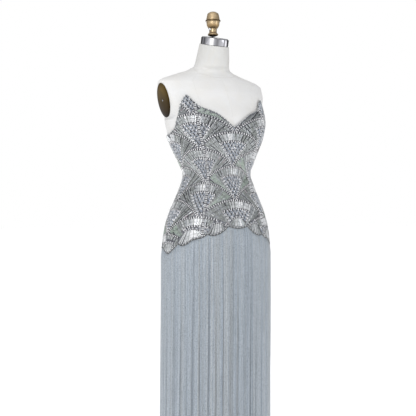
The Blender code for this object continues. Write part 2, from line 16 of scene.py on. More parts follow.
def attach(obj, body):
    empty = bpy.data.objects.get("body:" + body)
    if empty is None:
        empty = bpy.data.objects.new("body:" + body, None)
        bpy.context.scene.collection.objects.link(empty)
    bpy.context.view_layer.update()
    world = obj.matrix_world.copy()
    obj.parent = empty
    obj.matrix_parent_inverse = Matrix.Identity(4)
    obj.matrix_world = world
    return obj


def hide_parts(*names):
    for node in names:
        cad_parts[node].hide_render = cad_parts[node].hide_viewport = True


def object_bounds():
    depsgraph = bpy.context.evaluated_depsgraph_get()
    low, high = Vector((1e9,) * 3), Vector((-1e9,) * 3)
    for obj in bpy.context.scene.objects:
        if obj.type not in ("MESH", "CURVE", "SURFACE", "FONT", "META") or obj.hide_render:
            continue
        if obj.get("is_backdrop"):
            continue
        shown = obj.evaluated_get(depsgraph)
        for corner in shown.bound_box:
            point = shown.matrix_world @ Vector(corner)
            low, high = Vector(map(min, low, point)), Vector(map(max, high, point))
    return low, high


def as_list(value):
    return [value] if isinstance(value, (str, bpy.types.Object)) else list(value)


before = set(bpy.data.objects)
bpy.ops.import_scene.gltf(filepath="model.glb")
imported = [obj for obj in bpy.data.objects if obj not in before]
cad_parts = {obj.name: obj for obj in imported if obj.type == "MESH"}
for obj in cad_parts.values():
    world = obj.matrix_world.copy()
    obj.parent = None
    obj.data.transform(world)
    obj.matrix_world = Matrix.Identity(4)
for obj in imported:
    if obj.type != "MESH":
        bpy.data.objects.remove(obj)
CAD_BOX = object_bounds()

MM = 0.001
BODY = "gown_and_form"


def table(columns, *rows):
    """A short table with named columns."""
    row_type = namedtuple("Row", columns)
    return [row_type(*row) for row in rows]


# The figure, from the hem up, as the solids have it.
SECTIONS = table(
    "z half_width half_depth centre_y slope",
    (0.030, 0.1850, 0.1400, -0.016, 0.0), (0.400, 0.1822, 0.1390, -0.018, 0.0),
    (0.700, 0.1808, 0.1385, -0.022, 0.0), (0.840, 0.1806, 0.1380, -0.022, 0.0),
    (0.870, 0.1780, 0.1360, -0.023, 0.0), (0.900, 0.1730, 0.1325, -0.024, 0.0),
    (0.950, 0.1600, 0.1230, -0.025, 0.0), (1.000, 0.1400, 0.1090, -0.027, 0.0),
    (1.040, 0.1230, 0.0970, -0.027, 0.0), (1.080, 0.1120, 0.0900, -0.023, 0.0),
    (1.120, 0.1255, 0.0980, -0.020, 0.0), (1.160, 0.1440, 0.1080, -0.016, 0.0),
    (1.200, 0.1600, 0.1140, -0.013, 0.0), (1.250, 0.1710, 0.1150, -0.008, 0.0),
    (1.300, 0.1770, 0.1050, 0.001, 0.0), (1.340, 0.1900, 0.0980, 0.010, 0.0),
    (1.370, 0.1900, 0.0840, 0.017, 0.0), (1.383, 0.1760, 0.0740, 0.019, 0.0),
    (1.394, 0.1480, 0.0650, 0.022, 0.0), (1.405, 0.1170, 0.0580, 0.027, 0.0),
    (1.418, 0.0800, 0.0540, 0.026, 0.02), (1.432, 0.0590, 0.0520, 0.010, 0.06),
    (1.460, 0.0535, 0.0525, 0.001, 0.15), (1.500, 0.0475, 0.0480, -0.008, 0.255),
)
BUST_ANGLE = math.radians(31)
BUST_HEIGHT = 1.238
BUST_RISE = 15 * MM
BUST_SPREAD = math.radians(28)
BUST_SPREAD_UP = 0.062
BUST_SPREAD_DOWN = 0.057
FORM_BUST_SHARE = 0.78
ARMHOLE_Z = 1.324
ARMHOLE_X = 0.1725
ARMHOLE_Y = 0.0126
ARMHOLE_LEAN = math.radians(12.5)
ARMHOLE_LOWEST = 1.2585
ARMHOLE_FLARE = 1.9
ARMHOLE_SOFTNESS = 2.5 * MM
FORM_BOTTOM = 0.795
FORM_TOP = 1.4998
FORM_EDGE_ROUND = 12 * MM
FORM_STEPS = 144
CANVAS_GIRTH = 0.15

# The bodice's wall and edges, as the solids have them.
BODICE_STAND = table(
    "z out",
    (0.82, 2.5 * MM), (0.94, 2.5 * MM), (1.00, 1.5 * MM), (1.06, 1.2 * MM),
    (1.12, 1.4 * MM), (1.18, 2.3 * MM), (1.24, 2.8 * MM), (1.34, 3.0 * MM),
)
TOP_EDGE = table(
    "degrees z",
    (0, 1.226), (4, 1.234), (11, 1.251), (19, 1.269), (26, 1.278), (34, 1.288), (40, 1.305), (45, 1.325),
    (51, 1.313), (57, 1.296), (62, 1.270), (67, 1.248), (74, 1.223), (79, 1.217), (92, 1.206), (180, 1.200),
)
COLUMN_DEGREES = 5.625
LOWER_EDGE = (
    0.907, 0.909, 0.914, 0.899, 0.889, 0.885, 0.889, 0.879, 0.875, 0.870, 0.859, 0.854, 0.859, 0.846, 0.835,
    0.828, 0.833, 0.841, 0.849, 0.844, 0.844, 0.850, 0.861, 0.857, 0.860, 0.867, 0.880, 0.877, 0.880, 0.888,
    0.901, 0.899, 0.901,
)
# The columns where two lobes meet in a point.
LOBE_ENDS = (0, 2, 6, 12, 18, 22, 26, 30, 32)

# The bodice's panels, with the gap that each keeps from the lines of its seams.
SEAM_GAP = 0.15 * MM
ZIP_GAP = 3.5 * MM
PRINCESS = 39.375
PANELS = table(
    "name first last gaps flat area",
    ("bodice_front_centre", -PRINCESS, PRINCESS, (SEAM_GAP, SEAM_GAP), (0.245, 0.430), 0.066),
    ("bodice_front_left", PRINCESS, 90.0, (SEAM_GAP, SEAM_GAP), (0.180, 0.470), 0.052),
    ("bodice_front_right", -90.0, -PRINCESS, (SEAM_GAP, SEAM_GAP), (0.180, 0.470), 0.052),
    ("bodice_back_left", 90.0, 180.0, (SEAM_GAP, ZIP_GAP), (0.265, 0.385), 0.076),
    ("bodice_back_right", -180.0, -90.0, (ZIP_GAP, SEAM_GAP), (0.265, 0.385), 0.076),
)
SHELL_THICK = 0.9 * MM
SHELL_STEP_DEGREES = 1.5
SHELL_ROWS = 90

# Soft troughs (depth below zero) and ridges in the beaded cloth, each one listed: length, width and
# depth in millimetres, and how far its line leans from level, in degrees.
BODICE_CREASES = table(
    "degrees z length width lean depth",
    (-72, 1.088, 46, 7, 8, -0.9), (-60, 1.066, 34, 6, -12, -0.7), (-80, 1.112, 30, 8, 20, 0.6),
    (-30, 1.074, 26, 6, 5, -0.5), (12, 1.092, 30, 7, -8, -0.5), (48, 1.070, 38, 7, 10, -0.8),
    (66, 1.094, 44, 8, -10, -0.9), (82, 1.060, 28, 6, 4, 0.6), (104, 1.082, 46, 8, 6, -0.9),
    (128, 1.064, 36, 7, -9, -0.7), (150, 1.098, 40, 8, 12, -0.8), (-106, 1.078, 44, 8, -5, -0.9),
    (-133, 1.096, 38, 7, 10, -0.7), (-157, 1.068, 34, 7, -8, -0.8), (-64, 1.212, 30, 9, 48, -0.7),
    (63, 1.206, 32, 9, -50, -0.7), (-88, 0.930, 40, 10, 62, 0.7), (87, 0.940, 44, 10, -64, 0.7),
    (122, 0.934, 40, 10, 40, -0.6), (-126, 0.926, 42, 10, -38, -0.6),
)

# The beaded fans: a regular half-drop of overlapping fans, eight columns round the bodice. Sizes are in
# millimetres, and shares are of a fan's radius.
FAN_RADIUS = 106.0
FAN_COLUMNS = 8
FAN_TURN = math.tau / FAN_COLUMNS
FAN_ACROSS = FAN_RADIUS * math.sqrt(0.75)
FAN_DROP = FAN_RADIUS * MM
FAN_FOOT_Z = 1.105
FAN_SIDE = math.radians(30)
CORE_ANGLE = math.radians(29)
# Rows of beads along a fan's arcs, as far round as the reach, in degrees; a round bead has no length.
FAN_ROWS = table(
    "share reach length width pitch",
    (0.969, 60, 5.6, 2.5, 3.0),
    (0.716, 30, 4.8, 2.4, 2.9),
)
# The long bugles between the arcs: they reach from the core's arc, or from the fans below, to the
# outer arc, and each line is threaded from pieces of no more than the longest bugle.
BAND_INNER = 0.744
BAND_MIDDLE = 0.83
BAND_OUTER = 0.936
BAND_LINES = 62
BAND_WIDTH = 2.6
FLANK_START = 0.045
FLANK_LOWEST = 0.16
SHORTEST_LINE = 0.03
BUGLE_LONGEST = 15.0
LONG_BUGLE = 8
BAND_DARKEST = 0.36
BAND_FADE = 1.05
GREEN_FROM = 0.66
GREEN_SHARE = 0.75
PINK_SHARE = 0.03
CORE_FIRST = 0.070
CORE_LAST = 0.690
CORE_STEP = 0.0305
CORE_BEAD = 2.9
CORE_PITCH = 3.05
CORE_SHADES = (("white", "dark", "blue"), ("blue", "silver", "dark"), ("silver", "blue", "blue"))
# The small fans in the lobes, and the room that the rows of beads by the seams and edges take.
LOBE_FAN_MARGIN = 6.6 * MM
LOBE_FAN_HEIGHT = 27 * MM
LOBE_FAN_ARC = 6 * MM
LOBE_FAN_TOP = 0.55
LOBE_FAN_PITCH = 2.9 * MM
SEAM_BEADS_HALF = 3.2 * MM
SEAM_BEADS_ASIDE = 1.65 * MM
SEAM_BEADS_PITCH = 3.0 * MM
SEAM_BEADS_ABOVE = 8 * MM
SEAM_BEADS_BELOW = 4.5 * MM
LOWER_MARGIN = 5.4 * MM
TOP_MARGIN = 2.6 * MM

# Kinds of bead, in the order of the material slots, and the tones of the long bugles from dark to light.
BEAD_LOOKS = table(
    "kind colour roughness metallic",
    ("silver", (0.505, 0.53, 0.545), 0.26, 0.50), ("white", (0.86, 0.86, 0.87), 0.22, 0.05),
    ("blue", (0.36, 0.40, 0.465), 0.28, 0.35), ("dark", (0.055, 0.058, 0.065), 0.22, 0.5),
    ("green", (0.44, 0.51, 0.455), 0.24, 0.35), ("pink", (0.50, 0.44, 0.47), 0.24, 0.45),
    ("mid", (0.335, 0.355, 0.345), 0.26, 0.45), ("bright", (0.705, 0.72, 0.73), 0.24, 0.25),
)
KINDS = [look.kind for look in BEAD_LOOKS]
BAND_TONES = table("above kind", (0.12, "mid"), (0.44, "silver"), (0.68, "bright"), (0.97, "white"))
# Every third line of bugles is darker.
LINE_TONES = np.array([0.09, 0.09, -0.21])

# The fringe, and the partings between its locks: where, how wide, where they open, and their lean.
STRIP_OUT = 2.6 * MM
FRINGE_END = 0.030
FRINGE_LAYERS = table(
    "strands out radius jitter",
    (300, 4.3 * MM, 0.85 * MM, 0.3),
    (400, 5.5 * MM, 0.85 * MM, 0.6),
)
STRAND_LOOKS = table(
    "name colour",
    ("silver", (0.53, 0.585, 0.63)), ("blue", (0.46, 0.525, 0.59)), ("light", (0.63, 0.67, 0.70)),
    ("dark", (0.29, 0.33, 0.39)), ("pearl", (0.55, 0.585, 0.60)),
)
STRAND_SHARES = np.concatenate([[0.0, 0.012, 0.03, 0.06], np.linspace(0.10, 1.0, 10)])
STRAND_SIDES = 4
UV_GIRTH = 0.16
PARTING_REACH = math.radians(3.2)
PARTING_SOFT = 0.35
PARTING_PUSH = 0.28
PARTING_LEAN = 0.25
PARTINGS = table(
    "degrees width opens lean",
    (-84, 2.2, 0.80, 0.6), (-71.5, 2.0, 0.72, 0.4), (-62, 3.0, 0.84, -0.5), (-55, 1.6, 0.70, 0.6),
    (-48.5, 2.4, 0.82, 0.8), (-41, 1.8, 0.86, -0.6), (-37, 1.4, 0.75, 0.5), (-31.5, 2.6, 0.87, 0.7),
    (-24, 1.8, 0.70, -0.8), (-17, 2.0, 0.83, 0.5), (-9.5, 1.5, 0.78, 0.4), (-2, 2.4, 0.86, -0.6),
    (6, 1.6, 0.74, 0.8), (13, 2.2, 0.84, 0.5), (21, 1.6, 0.80, -0.4), (30, 2.6, 0.83, 0.6),
    (41, 1.8, 0.76, 0.5), (49, 2.8, 0.80, -0.7), (63, 2.0, 0.72, 0.4), (78, 2.4, 0.76, 0.6),
    (92, 2.0, 0.74, -0.5), (104, 2.8, 0.80, 0.6), (119, 1.8, 0.70, 0.5), (131, 2.4, 0.82, -0.6),
    (147, 2.0, 0.76, 0.4), (159, 2.6, 0.84, 0.5), (174, 1.8, 0.78, -0.5), (188, 2.2, 0.84, 0.6),
    (203, 1.8, 0.72, 0.5), (216, 2.8, 0.82, -0.4), (229, 2.0, 0.76, 0.6), (243, 2.4, 0.80, 0.5),
    (257, 1.8, 0.74, -0.6), (268, 2.4, 0.78, 0.4),
)

# The underskirt.
SKIRT_OUT = 0.7 * MM
SKIRT_THICK = 1.3 * MM
SKIRT_CLOTH = 0.5 * MM
SKIRT_HEM = 0.042
SKIRT_OVERLAP = 14 * MM
SKIRT_FOLDS = 23
SKIRT_FOLD_DEPTH = 1.6 * MM
SKIRT_COLUMNS = 150
SKIRT_ROWS = 46
SKIRT_HALVES = table(
    "side first rests_on",
    ("front", -math.pi / 2, "bodice_front_centre_cloth"),
    ("back", math.pi / 2, "bodice_back_left_cloth"),
)

# The form's seams, each with its angle and its top, and where the painted shade that greys the neck's cloth
# starts.
NECK_SHADE_FROM = 1.395
NECK_SEAM_BACK = 1.4245
NECK_SEAM_FRONT = 1.390
SEAM_FOOT = 1.185
FORM_SEAMS = table(
    "name degrees top",
    ("front", 0, 1.387), ("back", 180, 1.425), ("left_front", 33, 1.393), ("right_front", -33, 1.393),
    ("left_back", 147, 1.393), ("right_back", -147, 1.393),
)

# The neck's fittings and the armhole plates.
GAP = 0.3 * MM
NECK_TILT = math.radians(14.3)
NECK_CENTRE_Y = -0.008
RING_RADIUS = 45.5 * MM
RING_HEIGHT = 22.5 * MM
RING_LIP = 1.2 * MM
CAP_RADIUS = 43 * MM
CAP_HEIGHT = 1.6 * MM
FINIAL_BOTTOM = 1.5310
FINIAL_HEIGHT = 80
SCREW_RADIUS = 4.8 * MM
SCREW_Z = 1.5510
SCREW_ANGLE = math.radians(205)
STEM_RADIUS = 12.4 * MM
FINIAL_TURNS = table(
    "height radius",
    (0.0, 10.5), (2.0, 15.2), (4.2, 17.4), (7.4, 15.9), (10.3, 13.2), (13.5, 12.4), (22.5, 12.4),
    (24.6, 14.6), (27.5, 16.7), (32.4, 19.4), (40.0, 21.0), (46.6, 21.9), (48.0, 24.8), (51.0, 24.6),
    (52.4, 22.2), (55.5, 21.8), (61.0, 20.7), (66.0, 19.7), (71.0, 18.5), (73.6, 16.8), (76.0, 12.8),
    (78.4, 8.2), (FINIAL_HEIGHT, 0.0),
)
# Painted reflections: light and dark stripes painted into the neck ring's colour, by their place round it,
# from 0 to 1.
RING_PAINTED_REFLECTIONS = table(
    "turn light",
    (0.000, 0.10), (0.011, 0.60), (0.034, 0.10), (0.062, 0.42), (0.100, 0.55), (0.122, 1.00), (0.148, 1.00),
    (0.165, 0.40), (0.200, 0.20), (0.228, 0.42), (0.275, 0.55), (0.292, 0.20), (0.306, 0.95), (0.322, 0.90),
    (0.340, 0.06), (0.420, 0.10), (0.470, 0.55), (0.520, 0.15), (0.570, 0.95), (0.620, 0.45), (0.680, 0.20),
    (0.730, 0.60), (0.790, 0.95), (0.840, 0.30), (0.890, 0.55), (0.930, 0.08), (0.985, 0.06),
)
# How light the brass is painted up the finial, from 0 to 1: painted shade at the foot, where the stem meets
# the bowl and under the flange, partly tarnish; where it is dull it is browner.
FINIAL_SHADE_AND_TARNISH = table(
    "place light",
    (0.00, 0.15), (0.03, 0.45), (0.07, 0.88), (0.14, 0.72), (0.20, 0.88), (0.28, 0.76), (0.33, 0.25),
    (0.42, 0.60), (0.50, 1.00), (0.57, 0.80), (0.595, 0.15), (0.63, 0.30), (0.66, 0.85), (0.80, 1.00),
    (1.00, 0.80),
)
TARNISH_TINT = (1.0, 0.90, 0.76)
DULL_BELOW = 0.7
PLATE_DROP = 10 * MM
PLATE_BACK = 5 * MM
PLATE_HALF_HEIGHT = 55.5 * MM
PLATE_HALF_WIDTH = 39 * MM
PLATE_DOME = 4 * MM
PLATE_STEPS = 96
PLATE_RINGS = table(
    "share rise",
    (1.0, 0.0), (1.0, 0.5), (0.985, 1.1), (0.955, 1.6), (0.90, 2.1), (0.80, 2.7), (0.66, 3.2), (0.50, 3.6),
    (0.33, 3.85), (0.16, 3.97),
)
# Outlines of turned parts, as (radius, height), from the axis out and back.
PLATE_SCREW = ((2.6 * MM, 0.0), (2.6 * MM, 0.7 * MM), (1.2 * MM, 1.3 * MM), (0.0, 1.4 * MM))
STAND_OUTLINES = {
    "stand_collar": ((0.0, 0.7847), (0.045, 0.7847), (0.045, 0.7947), (0.0, 0.7947)),
    "stand_pole": ((0.0, 0.0343), (0.016, 0.0343), (0.016, 0.7844), (0.0, 0.7844)),
    "stand_base": (
        (0.0, 0.0), (0.1985, 0.0), (0.200, 0.0015), (0.200, 0.007), (0.196, 0.011), (0.038, 0.014),
        (0.032, 0.020), (0.021, 0.034), (0.0, 0.034)),
}

# The zip.
TAPE_HALF_WIDTH = 3.2 * MM
TAPE_THICK = 0.55 * MM
TAPE_ROWS = 60
TOOTH_PITCH = 1.4 * MM
TOOTH_SIZE = np.array([2.3, 0.75, 0.95]) * MM
TOOTH_START = np.array([0.5 * MM, 0.0, 0.475 * MM])

# The studio: its light and dark sides by their place round it, from 0 to 1, its lamps and the camera, at
# the photograph's viewing angle, which was worked out from the form's outline.
WORLD_STRENGTH = 0.81
STUDIO_PANELS = table(
    "turn light",
    (0.00, 0.95), (0.08, 1.20), (0.17, 1.25), (0.26, 1.05), (0.36, 0.60), (0.46, 0.45), (0.66, 0.40),
    (0.86, 0.55), (1.00, 0.95),
)
FLOOR_REACH = 60.0
LIGHTS = table(
    "name place size power colour",
    ("key", (-2.6, -2.4, 2.3), 1.6, 30, (1.0, 0.99, 0.98)),
    ("fill", (2.2, -2.8, 1.5), 1.4, 10, (0.96, 0.98, 1.0)),
    ("top", (0.2, 0.2, 3.4), 2.0, 6, (1.0, 1.0, 1.0)),
    ("back", (1.4, 2.8, 1.8), 1.6, 16, (1.0, 1.0, 1.0)),
)
LIGHTS_AIM = Vector((0, 0, 1.1))
CAMERA_DISTANCE = 3.0
CAMERA_AZIMUTH = math.radians(-30)
CAMERA_HEIGHT = 0.95
CAMERA_LENS = 79.88
SENSOR = 36.0
SHIFT_X = -0.0120
SHIFT_Y = 0.0168


# The figure.
def smooth_curve(points):
    """A smooth function through (x, y) points that never swings past them, for arrays."""
    xs, ys = np.array(points, float).T
    rises = np.diff(ys) / np.diff(xs)
    before, after = rises[:-1], rises[1:]
    level = before * after <= 0
    inner = np.where(level, 0.0, 2 * before * after / np.where(level, 1.0, before + after))
    slopes = np.concatenate([rises[:1], inner, rises[-1:]])

    def value(x):
        x = np.clip(x, xs[0], xs[-1])
        i = np.clip(np.searchsorted(xs, x, side="right") - 1, 0, len(xs) - 2)
        step = xs[i + 1] - xs[i]
        u = (x - xs[i]) / step
        start = ys[i] * (1 + 2 * u) * (1 - u) ** 2 + slopes[i] * step * u * (1 - u) ** 2
        end = ys[i + 1] * u * u * (3 - 2 * u) - slopes[i + 1] * step * u * u * (1 - u)
        return start + end

    return value


half_width_at = smooth_curve([(section.z, section.half_width) for section in SECTIONS])
half_depth_at = smooth_curve([(section.z, section.half_depth) for section in SECTIONS])
centre_y_at = smooth_curve([(section.z, section.centre_y) for section in SECTIONS])
slope_at = smooth_curve([(section.z, section.slope) for section in SECTIONS])
bodice_out_at = smooth_curve(BODICE_STAND)
top_edge_at = smooth_curve(TOP_EDGE)
LOBES = [
    smooth_curve([(column * COLUMN_DEGREES, LOWER_EDGE[column]) for column in range(first, last + 1)])
    for first, last in zip(LOBE_ENDS, LOBE_ENDS[1:])
]


def apart(angle, other=0.0):
    """How far round one angle lies from another, from -pi to pi."""
    return (angle - other + np.pi) % math.tau - np.pi


def armhole_limit(z):
    above = np.maximum(z, ARMHOLE_LOWEST) - ARMHOLE_Z
    below = np.maximum(0.0, ARMHOLE_LOWEST - z)
    return ARMHOLE_X + above * math.tan(ARMHOLE_LEAN) + below * ARMHOLE_FLARE


def figure(angle, z, out, bust_share=1.0):
    """Points at a distance out from the figure, for arrays of angles (radians) and heights."""
    angle, z, out = np.broadcast_arrays(*[np.asarray(part, float) for part in (angle, z, out)])
    away = (np.abs(apart(angle)) - BUST_ANGLE) / BUST_SPREAD
    up = (z - BUST_HEIGHT) / np.where(z > BUST_HEIGHT, BUST_SPREAD_UP, BUST_SPREAD_DOWN)
    grow = BUST_RISE * np.exp(-away * away - up * up) * bust_share + out
    x = (half_width_at(z) + grow) * np.sin(angle)
    y = centre_y_at(z) - (half_depth_at(z) + grow) * np.cos(angle)
    limit = armhole_limit(z) + out
    shy = ARMHOLE_SOFTNESS * np.logaddexp(0, (limit - np.abs(x)) / ARMHOLE_SOFTNESS)
    x = np.sign(x) * (limit - shy)
    return np.stack([x, y, z + slope_at(z) * (y - centre_y_at(z))], axis=-1)


def girth_radius(z):
    return (half_width_at(z) + half_depth_at(z)) / 2


def top_edge(angle):
    return top_edge_at(np.degrees(np.abs(apart(angle))))


def lower_edge(angle):
    """The lower edge as lobes that meet in points."""
    degrees = np.degrees(np.abs(apart(np.asarray(angle, float))))
    height = np.zeros_like(degrees)
    for lobe, first, last in zip(LOBES, LOBE_ENDS, LOBE_ENDS[1:]):
        inside = (degrees >= first * COLUMN_DEGREES - 1e-9) & (degrees <= last * COLUMN_DEGREES + 1e-9)
        height = np.where(inside, lobe(degrees), height)
    return height


def bodice_point(angle, z):
    """Points on the bodice's outside, with its creases."""
    out = bodice_out_at(z) + SHELL_THICK
    for crease in BODICE_CREASES:
        across = apart(angle, math.radians(crease.degrees)) * girth_radius(z) / MM
        up = (z - crease.z) / MM
        lean = math.radians(crease.lean)
        along = across * math.cos(lean) + up * math.sin(lean)
        aside = up * math.cos(lean) - across * math.sin(lean)
        out = out + crease.depth * MM * np.exp(-(along / crease.length) ** 2 - (aside / crease.width) ** 2)
    return figure(angle, z, out)


# Materials. The made thing is a material or the world.
def node(made, node_type, **inputs):
    """A new node; inputs sets its sockets by name, with _ for spaces."""
    added = made.node_tree.nodes.new(node_type)
    for socket, value in inputs.items():
        added.inputs[socket.replace("_", " ")].default_value = value
    return added


def link(made, source, target):
    made.node_tree.links.new(source, target)


def material(name, colour, roughness, metallic=0.0, **more):
    """A Principled material; more sets its other sockets by name, with _ for spaces."""
    made = bpy.data.materials.new(name)
    made.use_nodes = True
    more.update(Base_Color=(*colour, 1.0), Roughness=roughness, Metallic=metallic)
    for socket, value in more.items():
        shader_of(made).inputs[socket.replace("_", " ")].default_value = value
    return made


def shader_of(made):
    return made.node_tree.nodes["Principled BSDF"]


def paint(made, colour):
    link(made, colour, shader_of(made).inputs["Base Color"])


def coordinates(made, system="UV", scale=(1, 1, 1)):
    """Texture coordinates, stretched by a scale."""
    mapping = node(made, "ShaderNodeMapping", Scale=scale)
    link(made, node(made, "ShaderNodeTexCoord").outputs[system], mapping.inputs["Vector"])
    return mapping.outputs["Vector"]


def noise(made, where, scale, detail=2.0):
    texture = node(made, "ShaderNodeTexNoise", Scale=scale, Detail=detail)
    link(made, where, texture.inputs["Vector"])
    return texture.outputs["Fac"]


def gradient(made, where, shape):
    texture = node(made, "ShaderNodeTexGradient")
    texture.gradient_type = shape
    link(made, where, texture.inputs["Vector"])
    return texture.outputs["Fac"]


def wave(made, where, period, direction, distortion=0.0):
    """Bands with a period in metres."""
    texture = node(made, "ShaderNodeTexWave", Scale=math.pi / 10 / period, Distortion=distortion)
    texture.bands_direction = direction
    link(made, where, texture.inputs["Vector"])
    return texture.outputs["Fac"]


def mapped(made, value, **limits):
    """A value mapped from one range to another."""
    added = node(made, "ShaderNodeMapRange", **limits)
    link(made, value, added.inputs["Value"])
    return added.outputs["Result"]


def height_share(made, axis, low, high):
    """How far along one of the object's axes a point is, from 0 at low to 1 at high."""
    split = node(made, "ShaderNodeSeparateXYZ")
    link(made, coordinates(made, "Object"), split.inputs["Vector"])
    return mapped(made, split.outputs[axis], From_Min=low, From_Max=high)


def ramp(made, factor, *stops):
    """A colour ramp through (position, colour) stops, where a single number stands for a grey."""
    added = node(made, "ShaderNodeValToRGB")
    link(made, factor, added.inputs["Fac"])
    elements = added.color_ramp.elements
    while len(elements) < len(stops):
        elements.new(0.5)
    for element, (position, colour) in zip(elements, stops):
        element.position = position
        element.color = (*(colour if isinstance(colour, tuple) else (colour,) * 3), 1.0)
    return added.outputs["Color"]


def multiply(made, first, *others):
    for other in others:
        added = node(made, "ShaderNodeMix")
        added.data_type = "RGBA"
        added.blend_type = "MULTIPLY"
        added.inputs["Factor"].default_value = 1.0
        link(made, first, added.inputs["A"])
        link(made, other, added.inputs["B"])
        first = added.outputs["Result"]
    return first


def bump(made, height, distance, strength):
    added = node(made, "ShaderNodeBump", Strength=strength, Distance=distance)
    link(made, height, added.inputs["Height"])
    link(made, added.outputs["Normal"], shader_of(made).inputs["Normal"])


def scaled(colour, share):
    return tuple(part * share for part in colour)


def canvas_material():
    """Woven linen with slow clouds, a little yellowed, and painted shade that greys the neck towards its top.
    """
    made = material("canvas", (0.80, 0.80, 0.79), 0.88, Sheen_Weight=0.08, Sheen_Roughness=0.5)
    where = coordinates(made)
    tone = ramp(made, noise(made, where, 9.0, 4.0), (0.3, (0.76, 0.765, 0.765)), (0.7, (0.82, 0.82, 0.81)))
    weave = multiply(made, wave(made, where, 0.9 * MM, "Y", 1.0), wave(made, where, 0.9 * MM, "X", 1.0))
    thread = ramp(made, weave, (0.0, 0.93), (0.6, 1.0))
    aged = ramp(made, noise(made, where, 22.0, 3.0), (0.35, 1.0), (0.7, (0.985, 0.972, 0.945)))
    # Painted shade: the neck's cloth is painted greyer towards its top.
    up = height_share(made, "Z", NECK_SHADE_FROM, FORM_TOP)
    neck_shade = ramp(made, up, (0.0, 1.0), (0.5, (0.86, 0.86, 0.85)), (1.0, (0.84, 0.84, 0.825)))
    paint(made, multiply(made, tone, aged, neck_shade, thread))
    bump(made, weave, 0.12 * MM, 0.6)
    return made


def seeded_cloth_material():
    """The bodice's ground, close-set with seed beads that are too small to build one by one."""
    made = material("beaded_cloth", (0.3, 0.31, 0.33), 0.35, 0.35)
    where = coordinates(made)
    seeds = node(made, "ShaderNodeTexVoronoi", Scale=1 / (1.7 * MM), Randomness=0.55)
    link(made, where, seeds.inputs["Vector"])
    # Each seed bead is painted light in its middle and dark at its rim: painted shade on its dome, which also
    # darkens the gaps between beads.
    dome = ramp(made, seeds.outputs["Distance"], (0.0, 1.0), (0.62, (0.25, 0.25, 0.27)))
    tints = ramp(made, noise(made, where, 160.0), (0.30, (0.16, 0.17, 0.19)), (0.48, (0.34, 0.35, 0.37)),
                 (0.62, (0.44, 0.46, 0.50)), (0.8, (0.62, 0.63, 0.64)))
    paint(made, multiply(made, tints, dome))
    bump(made, dome, 0.5 * MM, 0.8)
    return made


def bead_material(name, colour, roughness, metallic):
    """Cut glass with a metal lining: each bead a little lighter or darker than the next."""
    made = material(f"bead_{name}", colour, roughness, metallic, Coat_Weight=0.4, Coat_Roughness=0.08)
    jitter = noise(made, coordinates(made, "Object"), 330.0, 1.0)
    paint(made, ramp(made, jitter, (0.32, scaled(colour, 0.62)), (0.5, colour), (0.68, scaled(colour, 1.28))))
    return made


def lining_material():
    made = material("lining_cloth", (0.38, 0.42, 0.46), 0.55, Sheen_Weight=0.2, Sheen_Roughness=0.4)
    where = coordinates(made)
    cloud = noise(made, where, 14.0, 3.0)
    paint(made, ramp(made, cloud, (0.3, (0.33, 0.37, 0.41)), (0.7, (0.43, 0.47, 0.51))))
    bump(made, wave(made, where, 0.5 * MM, "Y", 0.5), 0.05 * MM, 0.5)
    return made


def strand_material(name, colour):
    """A strand of small beads: bands along its length, glints, and slow changes of tone."""
    made = material(f"fringe_{name}", colour, 0.34, 0.3)
    beads = wave(made, coordinates(made), 2.4 * MM, "Y")
    joints = ramp(made, beads, (0.06, (0.55, 0.55, 0.58)), (0.3, 1.0))
    slow = noise(made, coordinates(made, "UV", (1.0, 0.05, 1.0)), 260.0)
    tone = ramp(made, slow, (0.3, scaled(colour, 0.86)), (0.7, scaled(colour, 1.10)))
    glint = noise(made, coordinates(made, "Object"), 330.0, 1.0)
    glitter = ramp(made, glint, (0.36, (0.70, 0.71, 0.72)), (0.5, 0.96), (0.66, 1.0))
    paint(made, multiply(made, tone, glitter, joints))
    bump(made, beads, 0.25 * MM, 0.6)
    return made


def chrome_material(name="chrome", bands=()):
    """Polished chrome; bands are painted reflections, light and dark stripes in its colour by their place
    round it, from 0 to 1.
    """
    made = material(name, (0.66, 0.68, 0.70), 0.07, 1.0)
    where = coordinates(made, "Object")
    smear = mapped(made, noise(made, where, 60.0, 3.0), To_Min=0.05, To_Max=0.13)
    link(made, smear, shader_of(made).inputs["Roughness"])
    if bands:
        # Painted reflections: light and dark stripes set in the colour by the place round the ring.
        stops = [(band.turn, (band.light, band.light, min(1.0, band.light * 1.06))) for band in bands]
        paint(made, ramp(made, gradient(made, where, "RADIAL"), *stops))
    return made


def metal_material(name, colour, roughness, variation, scale=45.0, *shades):
    """Cast or turned metal, worn by hands until it has lost its even polish; shades are given the material,
    and their colours, such as painted shade, darken its own.
    """
    made = material(name, colour, roughness, 1.0)
    where = coordinates(made, "Object")
    patches = noise(made, where, scale, 5.0)
    tone = ramp(made, patches, (0.32, scaled(colour, 1 - variation)), (0.68, scaled(colour, 1 + variation)))
    paint(made, multiply(made, tone, *[shade(made) for shade in shades]))
    worn = mapped(made, patches, To_Min=roughness * 0.75, To_Max=min(1.0, roughness * 1.4))
    link(made, worn, shader_of(made).inputs["Roughness"])
    bump(made, noise(made, where, 900.0), 0.02 * MM, 0.3)
    return made


def finial_shade_and_tarnish(made):
    """The finial's brass with painted shade in the turned recesses and under the flange, with a browner
    tarnish there, placed by height.
    """
    up = height_share(made, "Z", FINIAL_BOTTOM, FINIAL_BOTTOM + FINIAL_HEIGHT * MM)
    stops = [(row.place, scaled(TARNISH_TINT if row.light < DULL_BELOW else (1.0, 1.0, 1.0), row.light))
             for row in FINIAL_SHADE_AND_TARNISH]
    return ramp(made, up, *stops)


